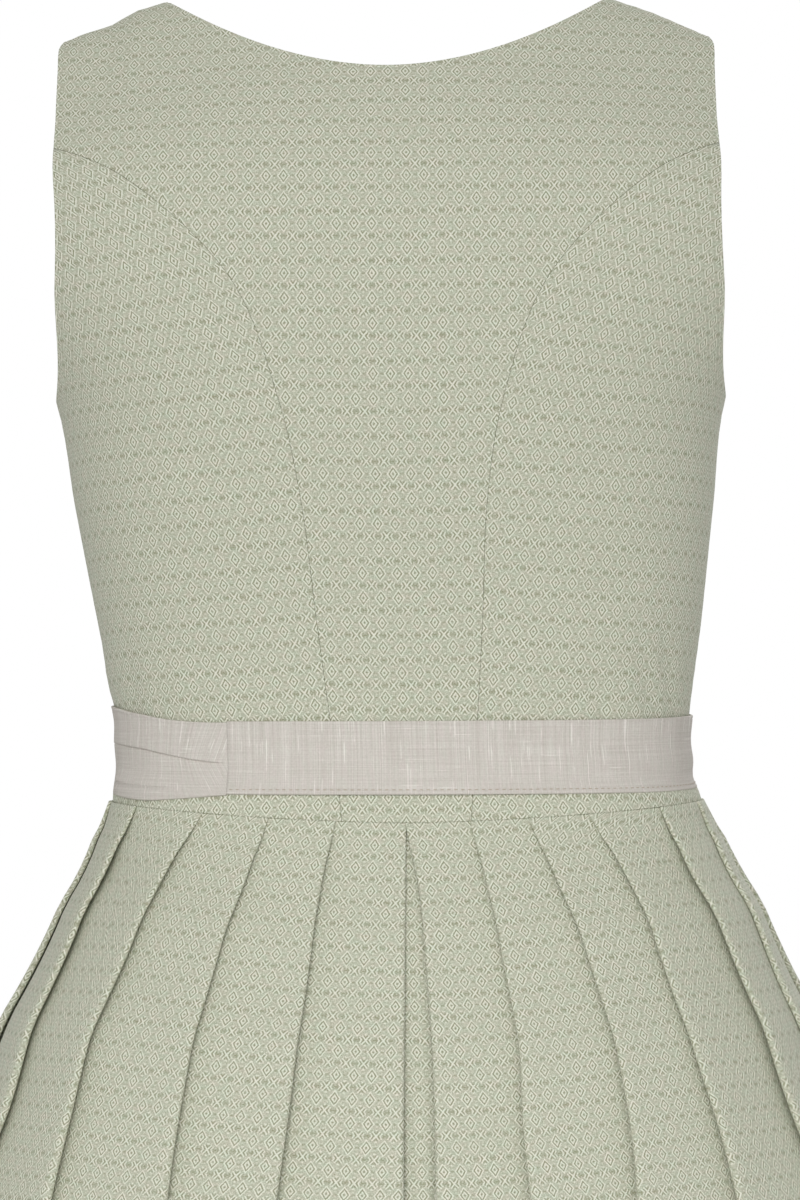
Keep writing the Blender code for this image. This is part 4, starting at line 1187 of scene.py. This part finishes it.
def build_apron(finish):
    """The gathered panel, and the two ends of the tie that hang over it."""
    levels = np.interp(np.linspace(0, 1, 90), np.linspace(0, 1, len(APRON_LEVELS)), APRON_LEVELS[:, 0])
    columns = 16 * APRON_GATHERS + 1
    turn = np.linspace(-1, 1, columns)
    rows, lengths = [], []
    for down in levels:
        _, half, rise, depth = row_at(APRON_LEVELS, down)
        # the gathers are uneven in their places and their heights, each down its own length too
        phase = math.pi * APRON_GATHERS * (turn + 1)
        phase = phase + 0.5 * np.sin(3.1 * turn + 4 * down) + 0.35 * np.sin(7.7 * turn - 9 * down)
        size = 0.70 + 0.22 * np.sin(5.3 * turn + 3 * down + 1) + 0.10 * np.sin(11.9 * turn - 6 * down)
        wave = (0.5 - 0.5 * np.cos(phase)) * size
        rows.append(over_skirt(turn * half, down, rise + depth * wave))
    points = np.stack(rows[::-1])
    flat = np.stack([np.repeat(np.linspace(0, APRON_CUT, columns)[None], len(levels), 0),
                     np.repeat(-levels[::-1, None], columns, 1)], -1)
    edges = [points[0], points[:, 0], points[:, -1]]
    relief = sewn_relief(points, edges, [points[-1]])
    cloth("apron_panel", points, flat, finish, LINEN_WALL, relief, centred=True)
    levels = np.linspace(TIE_END[0, 0], TIE_END[-1, 0], 70)
    for name, lean in (("tie_end_side", 1), ("tie_end_front", -1)):
        rows = []
        for down in levels:
            _, apart, half, rise = row_at(TIE_END, down)
            place = np.linspace(-1, 1, 25)
            fold = 0.0011 * np.cos(2 * math.pi * (place * 1.2 + 0.2 * lean)) * math.exp(-max(down, 0) / 0.09)
            rows.append(over_skirt(tie_end_centre() + lean * apart + place * half, down, rise + fold))
        points = np.stack(rows[::-1])
        flat = np.stack([running_length(points, 1), -running_length(points[::-1], 0)[::-1]], -1)
        relief = sewn_relief(points, [points[0], points[:, 0], points[:, -1]], [points[-1]])
        cloth(name, points, flat, finish, LINEN_WALL, relief, centred=True)


def build_bow(finish):
    """The bow's two loops, each folded back on itself beside the knot."""
    row = np.linspace(0, len(BOW_LOOP) - 1, 91)
    table = interpolate(BOW_LOOP, row)
    across, out, half = table.T
    for name, sign, slope in (("bow_loop_side", 1, 0.20), ("bow_loop_front", -1, 0.32)):
        order = slice(None, None, sign)
        away = sign * (beside_knot(sign, BOW_LOOP[0, 1]) + across)
        turn = math.radians(180 - KNOT_FROM_FRONT) - away[order] / waist_radius()
        place = np.linspace(-1, 1, 33)[:, None]
        z = (BAND_TOP + BAND_BOTTOM) / 2 - (slope * across)[order] + place * half[order]
        fold = 0.0014 * np.cos(3.4 * math.pi * place + sign) * np.exp(-across[order] / 0.030)
        fold = fold + 0.0016 * np.sin(2.2 * place + 18 * across[order]) * np.clip(across[order] / 0.04, 0, 1)
        turn = np.broadcast_to(turn, z.shape)
        points = waist_point(turn, z, band_out(turn) + out[order] + fold)
        flat = np.stack([running_length(points, 1), running_length(points, 0)], -1)
        relief = sewn_relief(points, [points[0], points[-1]], [points[:, 0], points[:, -1]])
        cloth(name, points, flat, finish, LINEN_WALL, relief, centred=True)


def build_knot(finish):
    """The knot: a soft rounded wrap, with the turns of the tie drawn into it."""
    seat, out, side = knot_frame()
    centre = seat + out * (KNOT_SIZE[1] / 2 + KNOT_CLEAR)
    up = np.linspace(-1, 1, 49)[:, None] * math.pi / 2
    turn = np.linspace(0, 2 * math.pi, 97)[None]

    def squared(value, power):
        return np.sign(value) * np.abs(value) ** power

    x = squared(np.cos(up), 0.55) * squared(np.cos(turn), 0.7)
    y = squared(np.cos(up), 0.55) * squared(np.sin(turn), 0.7)
    z = squared(np.sin(up), 0.6) * np.ones_like(turn)
    waist = 1 - 0.10 * np.cos(2.2 * z) ** 2
    groove = 1 - 0.050 * bell(z - 0.35 * x - 0.30, 0.10) - 0.055 * bell(z + 0.45 * x + 0.28, 0.09)
    half = np.array(KNOT_SIZE) / 2
    points = centre + (x * groove * half[0] * waist)[..., None] * side + (y * groove * half[1])[..., None] * -out \
        + (z * half[2])[..., None] * np.array((0, 0, 1))
    points = leaned(points)
    flat = np.stack([turn * 0.009 + 0 * z, z * 0.017], -1)
    made = bmesh.new()
    place = made.loops.layers.uv.new("cloth")
    rows, columns = points.shape[:2]
    corners = [[made.verts.new(point) for point in row[:-1]] for row in points.tolist()]
    for r in range(rows - 1):
        for c in range(columns - 1):
            after = (c + 1) % (columns - 1)
            face = made.faces.new((corners[r][c], corners[r][after], corners[r + 1][after], corners[r + 1][c]))
            face.smooth = True
            for loop, spot in zip(face.loops, ((r, c), (r, c + 1), (r + 1, c + 1), (r + 1, c))):
                loop[place].uv = flat[spot]
    bmesh.ops.remove_doubles(made, verts=made.verts, dist=1e-6)
    bmesh.ops.recalc_face_normals(made, faces=made.faces)
    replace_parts(small_piece("apron_knot_cloth", made, finish), "apron_knot")


# A button's outline, from the middle of its underside to the middle of its face, as shares of radius and height.
BUTTON_OUTLINE = (
    (0, 0), (0.80, 0), (0.94, 0.10), (1, 0.32), (0.99, 0.56), (0.94, 0.80), (0.86, 0.96), (0.78, 1),
    (0.71, 0.96), (0.66, 0.82), (0.61, 0.72), (0.55, 0.70), (0.50, 0.66), (0.46, 0.70), (0.30, 0.80), (0, 0.86),
)
BUTTON_SIDES = 64
BUTTONHOLE = (0.0078, 0.0011, 0.00032)  # half of its length, half of its width, radius of its thread
BUTTONHOLE_ASIDE = 0.0028  # its middle, past the button's, away from the front's edge


def build_buttons(place, foot, horn_finish, thread):
    """Domed buttons with a turned rim down the upper front, each with its worked buttonhole under it."""
    rows = [row[np.argsort(row[:, 0])] for row in place[: foot + 1]]
    edge = leaned(np.array([[0, *(np.interp(0, row[:, 0], row[:, k]) for k in (1, 2))] for row in rows]))
    turn = np.linspace(0, 2 * math.pi, BUTTON_SIDES + 1)[:-1]
    for k in range(BUTTONS):
        z = BUTTONS_TOP + (BUTTONS_BOTTOM - BUTTONS_TOP) * k / (BUTTONS - 1)
        x, y = (float(np.interp(z, edge[:, 2], edge[:, axis])) for axis in (0, 1))
        above, below = (np.interp(z + by, edge[:, 2], edge[:, 1]) for by in (BUTTON_RADIUS, -BUTTON_RADIUS))
        outward = np.array((0, -2 * BUTTON_RADIUS, above - below))
        outward /= np.linalg.norm(outward)
        upward = np.array((0, outward[2], -outward[1]))
        seat = np.array((x, min((above + below) / 2, y), z)) + outward * SEAM_GAP
        made = bmesh.new()
        rings = []
        for radius, height in BUTTON_OUTLINE:
            middle = seat + outward * height * BUTTON_HEIGHT
            around = np.cos(turn)[:, None] * np.array((1, 0, 0)) + np.sin(turn)[:, None] * upward
            spots = middle + BUTTON_RADIUS * radius * around if radius else middle[None]
            rings.append([made.verts.new(spot) for spot in spots.tolist()])
        for inner, outer in zip(rings[:-1], rings[1:]):
            for j in range(BUTTON_SIDES):
                i = (j + 1) % BUTTON_SIDES
                near, far = ((ring_[j], ring_[i]) if len(ring_) > 1 else (ring_[0],) for ring_ in (inner, outer))
                made.faces.new((*near, *far[::-1])).smooth = True
        bmesh.ops.recalc_face_normals(made, faces=made.faces)
        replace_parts(small_piece(f"button_{k + 1}_turned", made, horn_finish), f"button_{k + 1}")
        half, width, radius = BUTTONHOLE
        spots = seat + (BUTTONHOLE_ASIDE + half * np.cos(turn))[:, None] * np.array((-1, 0, 0)) \
            + (width * np.sign(np.sin(turn)) * np.abs(np.sin(turn)) ** 0.4)[:, None] * upward
        made = bmesh.new()
        tube(made, spots, radius, 6, closed=True)
        bmesh.ops.recalc_face_normals(made, faces=made.faces)
        small_piece(f"buttonhole_{k + 1}", made, thread)


# ---------------------------------------------------------------- materials
def linear(code):
    """A colour written as in CSS, made linear."""
    parts = [int(code[k : k + 2], 16) / 255 for k in (1, 3, 5)]
    return [p / 12.92 if p <= 0.04045 else ((p + 0.055) / 1.055) ** 2.4 for p in parts] + [1.0]


def add(tree, kind, *inputs, out=0, **settings):
    """Adds a node; each input is a value, or another node's socket to link, or None to leave it alone."""
    made = tree.nodes.new(kind)
    for name, value in settings.items():
        setattr(made, name, value)
    for k, value in enumerate(inputs):
        if isinstance(value, bpy.types.NodeSocket):
            tree.links.new(value, made.inputs[k])
        elif value is not None:
            made.inputs[k].default_value = value
    return made.outputs[out]


REPEAT = (8.12, 11.6)  # mm, one repeat of the dobby weave
# The figures of the weave, in mm from their own centres, in one quarter; the others mirror it.
#   figure 0 is the diamond, 1 the cross halfway between diamonds; a stroke's two ends, half of its width, its tone
# columns: figure, x1, y1, x2, y2, half, tone
STROKES = (
    (0, 2.65, 0.00, 0.00, 3.72, 0.42, 1.00),
    (0, 1.92, 0.00, 0.00, 2.85, 0.38, -0.90),
    (0, 1.10, 0.00, 0.00, 1.75, 0.42, 0.85),
    (0, 0.00, 0.00, 0.01, 0.01, 0.52, -0.95),
    (0, 3.60, 0.00, 4.06, 0.00, 0.44, -0.60),
    (0, 3.75, 1.12, 4.06, 1.12, 0.34, 0.40),
    (1, 0.00, 0.00, 1.62, 2.12, 0.38, 1.00),
    (1, 1.80, 0.00, 2.60, 1.30, 0.36, 0.85),
    (1, 0.95, 0.00, 1.85, 1.20, 0.34, -0.85),
    (1, 0.00, 1.15, 0.75, 2.10, 0.34, -0.75),
    (1, 0.00, 2.60, 0.36, 2.95, 0.38, 0.85),
    (1, 2.80, 0.00, 3.35, 0.95, 0.34, -0.60),
    (1, 3.70, 0.00, 4.06, 0.00, 0.50, -0.75),
)


def weave_tone(tree, place):
    """The dobby figures at a place in mm, as a tone from -1, dark, to 1, light."""
    folded = []
    for figure in (0, 1):
        shifted = add(tree, "ShaderNodeVectorMath", place, (REPEAT[0] / 2 * figure, REPEAT[1] / 2 * figure, 0))
        low = (-REPEAT[0] / 2, -REPEAT[1] / 2, -1)
        high = (REPEAT[0] / 2, REPEAT[1] / 2, 1)
        wrapped = add(tree, "ShaderNodeVectorMath", shifted, high, low, operation="WRAP")
        folded.append(add(tree, "ShaderNodeVectorMath", wrapped, operation="ABSOLUTE"))
    total = None
    for figure, x1, y1, x2, y2, half, tone in STROKES:
        dx, dy = x2 - x1, y2 - y1
        square = dx * dx + dy * dy
        gap = add(tree, "ShaderNodeVectorMath", folded[figure], (x1, y1, 0), operation="SUBTRACT")
        along = add(tree, "ShaderNodeVectorMath", gap, (dx / square, dy / square, 0), operation="DOT_PRODUCT", out=1)
        along = add(tree, "ShaderNodeClamp", along)
        back = add(tree, "ShaderNodeVectorMath", (dx, dy, 0), None, None, along, operation="SCALE")
        apart = add(tree, "ShaderNodeVectorMath", gap, back, operation="DISTANCE", out=1)
        shade = ranged(tree, apart, 0.25 * half, half * 1.25, tone, 0.0, "SMOOTHSTEP")
        total = shade if total is None else add(tree, "ShaderNodeMath", total, shade)
    return total


def maths(tree, operation, first, second):
    return add(tree, "ShaderNodeMath", first, second, operation=operation)


def yarn_noise(tree, place, x, y, detail, roughness):
    """Noise whose grain is 1 / x mm wide across the cloth and 1 / y mm along it."""
    stretched = add(tree, "ShaderNodeVectorMath", place, (x, y, 1.0), operation="MULTIPLY")
    return add(tree, "ShaderNodeTexNoise", stretched, None, 1.0, detail, roughness)


def ranged(tree, value, low, high, to_low, to_high, kind="LINEAR"):
    return add(tree, "ShaderNodeMapRange", value, low, high, to_low, to_high, interpolation_type=kind)


def colour_ramp(tree, share, first, *between, last):
    """Colours by share; each stop is its place and its colour."""
    made = tree.nodes.new("ShaderNodeValToRGB")
    tree.links.new(share, made.inputs[0])
    stops = made.color_ramp.elements
    stops[0].position, stops[0].color = first
    stops[1].position, stops[1].color = last
    for at, colour in between:
        stops.new(at).color = colour
    return made.outputs[0]


def new_material(name):
    """A material, its node tree, and where a point lies in the flat cloth, in mm."""
    made = bpy.data.materials.new(name)
    made.use_nodes = True
    tree = made.node_tree
    at = add(tree, "ShaderNodeUVMap", uv_map="cloth")
    return made, tree, add(tree, "ShaderNodeVectorMath", at, None, None, 1000.0, operation="SCALE")


def set_shader(tree, colour, **inputs):
    """Gives the shader its colour and its constant values."""
    shader = tree.nodes["Principled BSDF"]
    tree.links.new(colour, shader.inputs["Base Color"])
    for name, value in inputs.items():
        shader.inputs[name.replace("_", " ")].default_value = value
    return shader


def set_yarns(tree, share, colours, tint, tints, height, bump, **inputs):
    """Colours the yarns from dark over ground to light, tints them in places, and raises them."""
    ground, light, dark = (linear(code) for code in colours)
    yarns = colour_ramp(tree, share, (0.0, dark), (0.5, ground), last=(1.0, light))
    tinted = colour_ramp(tree, tint, tints[0], last=tints[1])
    colour = add(tree, "ShaderNodeMix", 1.0, None, None, None, None, None, yarns, tinted,
                 data_type="RGBA", blend_type="MULTIPLY", out=2)
    raised = tree.nodes.new("ShaderNodeBump")
    raised.inputs["Strength"].default_value, raised.inputs["Distance"].default_value = bump
    tree.links.new(height, raised.inputs["Height"])
    tree.links.new(raised.outputs[0], set_shader(tree, colour, **inputs).inputs["Normal"])


def dobby_cotton(name, *colours):
    """Dobby-woven cotton: heathered sage ground with light raised figures."""
    made, tree, place = new_material(name)
    # the yarns wander a little, so the figures aren't drawn with a ruler
    wander = add(tree, "ShaderNodeTexNoise", place, None, 0.55, 2.0, 0.5, out=1)
    wander = add(tree, "ShaderNodeVectorMath", wander, (0.5, 0.5, 0.5), operation="SUBTRACT")
    wander = add(tree, "ShaderNodeVectorMath", wander, (0.45, 0.45, 0.0), operation="MULTIPLY")
    tone = weave_tone(tree, add(tree, "ShaderNodeVectorMath", place, wander))
    strength = ranged(tree, yarn_noise(tree, place, 0.06, 0.06, 2.0, 0.5), 0.3, 0.7, 0.86, 1.26)
    tone = maths(tree, "MULTIPLY", tone, strength)
    # single yarns: picks across and ends up, each lighter or darker along its run
    picks = yarn_noise(tree, place, 0.8, 3.2, 3.0, 0.65)
    ends = yarn_noise(tree, place, 3.0, 0.55, 2.0, 0.6)
    heather = maths(tree, "ADD", picks, ends)
    # flecks where a pick shows through, and a few dark nubs
    fleck = ranged(tree, yarn_noise(tree, place, 1.35, 1.7, 2.0, 0.6), 0.3, 0.7, -0.55, 0.55)
    nub = ranged(tree, yarn_noise(tree, place, 0.75, 0.9, 0.0, 0.5), 0.19, 0.12, 0.0, -1.3)
    mixed = tone
    for part in (ranged(tree, heather, 0.75, 1.25, -0.55, 0.55), fleck, nub):
        mixed = maths(tree, "ADD", mixed, part)
    # warm and green yarns mixed into the ground
    tint = yarn_noise(tree, place, 0.16, 0.30, 3.0, 0.6)
    tints = ((0.32, (0.955, 1.0, 0.955, 1)), (0.68, (1.03, 0.985, 0.965, 1)))
    height = maths(tree, "ADD", tone, maths(tree, "MULTIPLY", heather, 0.55))
    set_yarns(tree, ranged(tree, mixed, -1.0, 1.0, 0.0, 1.0), colours, tint, tints, height, (0.35, 0.00022),
              Roughness=0.88, Specular_IOR_Level=0.18, Sheen_Weight=0.10, Sheen_Roughness=0.5)
    return made


def slub_linen(name, *colours):
    """Slub linen: plain weave with single yarns that thicken and thin, and light slubs along the warp."""
    made, tree, place = new_material(name)
    warp = yarn_noise(tree, place, 2.1, 0.012, 3.0, 0.7)
    weft = yarn_noise(tree, place, 0.020, 1.9, 2.0, 0.6)
    mottle = yarn_noise(tree, place, 0.9, 0.9, 3.0, 0.7)
    # single thick yarns, each for a centimetre or two of its length
    slub = ranged(tree, yarn_noise(tree, place, 1.45, 0.015, 0.0, 0.5), 0.60, 0.74, 0.0, 1.0, "SMOOTHSTEP")
    run = ranged(tree, yarn_noise(tree, place, 0.5, 0.075, 1.0, 0.5), 0.50, 0.64, 0.0, 0.48, "SMOOTHSTEP")
    slub = maths(tree, "MULTIPLY", slub, run)
    pick = ranged(tree, yarn_noise(tree, place, 0.02, 1.5, 0.0, 0.5), 0.68, 0.80, 0.0, 0.35, "SMOOTHSTEP")
    run = ranged(tree, yarn_noise(tree, place, 0.07, 0.4, 1.0, 0.5), 0.50, 0.64, 0.0, 1.0, "SMOOTHSTEP")
    slub = maths(tree, "ADD", slub, maths(tree, "MULTIPLY", pick, run))
    total = maths(tree, "ADD", warp, maths(tree, "MULTIPLY", weft, 0.5))
    total = maths(tree, "ADD", total, maths(tree, "MULTIPLY", mottle, 0.45))
    share = maths(tree, "ADD", ranged(tree, total, 0.60, 1.38, 0.0, 1.0), slub)
    tint = yarn_noise(tree, place, 0.5, 0.12, 3.0, 0.6)
    tints = ((0.35, (0.985, 1.0, 0.975, 1)), (0.65, (1.01, 0.985, 0.985, 1)))
    set_yarns(tree, share, colours, tint, tints, share, (0.3, 0.0002), Roughness=0.85, Specular_IOR_Level=0.2)
    return made


def plain_horn(name):
    """Horn: fine brown grain, half matt."""
    made = bpy.data.materials.new(name)
    made.use_nodes = True
    tree = made.node_tree
    grain = add(tree, "ShaderNodeTexNoise", add(tree, "ShaderNodeTexCoord", out=3), None, 260.0, 3.0, 0.6)
    colour = colour_ramp(tree, grain, (0.3, linear("#5a4a36")), last=(0.7, linear("#9a8762")))
    set_shader(tree, colour, Roughness=0.38)
    return made


# ---------------------------------------------------------------- studio
FLOOR = -1.40
FRAME_HEIGHT = 0.570  # what the view takes in, at the dress
CAMERA_AWAY = 3.2
CAMERA_AT = (-0.0035, -0.282)
CAMERA_ROLL = 0.5
SKY = 0.46
# name, place, what it is aimed at, size, power
LIGHTS = (
    ("key", (0.5, 2.6, 0.8), (0, 0, -0.30), (1.4, 1.4), 28.0),
    ("fill", (-1.0, 2.6, 0.2), (0, 0, -0.30), (1.4, 1.8), 8.5),
    ("front_key", (-0.7, -2.6, 1.0), (0, 0, -0.30), (1.6, 1.6), 40.0),
)
# from the band down: place, aim, cone in degrees, soft share of it, power
SKIRT_SPOT = ((0.3, 2.7, -0.20), (0.04, 0.15, -0.95), 28.0, 0.30, 38.0)


def hang_light(light, place, aim, power):
    light.energy = power
    lamp = bpy.data.objects.new(light.name, light)
    lamp.location = place
    lamp.rotation_euler = (Vector(aim) - Vector(place)).to_track_quat("-Z", "Y").to_euler()
    bpy.context.scene.collection.objects.link(lamp)


def build_studio():
    scene = bpy.context.scene
    scene.view_settings.view_transform = "Standard"
    world = bpy.data.worlds.new("studio")
    scene.world = world
    world.use_nodes = True
    tree = world.node_tree
    background = tree.nodes["Background"]
    background.inputs["Color"].default_value = (1, 1, 1, 1)
    seen = add(tree, "ShaderNodeLightPath")
    strength = add(tree, "ShaderNodeMapRange", seen, 0.0, 1.0, SKY, 1.0)
    tree.links.new(strength, background.inputs["Strength"])

    floor = bpy.data.meshes.new("floor")
    floor.from_pydata([(-3, -3, FLOOR), (3, -3, FLOOR), (3, 3, FLOOR), (-3, 3, FLOOR)], [], [(0, 1, 2, 3)])
    pale = bpy.data.materials.new("studio_floor")
    pale.use_nodes = True
    pale.node_tree.nodes["Principled BSDF"].inputs["Base Color"].default_value = (0.86, 0.86, 0.86, 1)
    pale.node_tree.nodes["Principled BSDF"].inputs["Roughness"].default_value = 0.9
    floor.materials.append(pale)
    stage = bpy.data.objects.new("floor", floor)
    scene.collection.objects.link(stage)

    for name, place, aim, size, power in LIGHTS:
        light = bpy.data.lights.new(name, "AREA")
        light.shape = "RECTANGLE"
        light.size, light.size_y = size
        hang_light(light, place, aim, power)
    place, aim, cone, blend, power = SKIRT_SPOT
    light = bpy.data.lights.new("skirt_spot", "SPOT")
    light.spot_size, light.spot_blend = math.radians(cone), blend
    light.shadow_soft_size = 0.25
    hang_light(light, place, aim, power)

    camera = bpy.data.objects.new("camera", bpy.data.cameras.new("camera"))
    camera.data.sensor_width = 36
    camera.data.lens = 36 * CAMERA_AWAY / FRAME_HEIGHT
    camera.location = (CAMERA_AT[0], CAMERA_AWAY, CAMERA_AT[1])
    camera.rotation_euler = (math.radians(90), math.radians(CAMERA_ROLL), math.radians(180))
    camera.data.clip_end = 50
    scene.collection.objects.link(camera)
    scene.camera = camera


dress = bpy.data.collections.new("dirndl_cloth")
bpy.context.scene.collection.children.link(dress)
sage = dobby_cotton("dobby_woven_cotton", "#bdbfae", "#e6e7da", "#96987f")
linen = slub_linen("slub_linen", "#cfcac3", "#e9e5df", "#b4ada4")
thread = slub_linen("sewing_thread", "#b8ab99", "#c6bbab", "#a09281")
horn = plain_horn("turned_horn")
build_studio()

build_back(sage)
build_side("back_side_left", True, True, sage)
build_side("back_side_right", True, False, sage)
build_side("front_side_left", False, True, sage)
build_side("front_side_right", False, False, sage)
upper_front, foot = build_front(sage)
build_buttons(upper_front, foot, horn, sage)
build_skirt(sage)
build_band(linen, thread)
build_apron(linen)
build_bow(linen)
build_knot(linen)
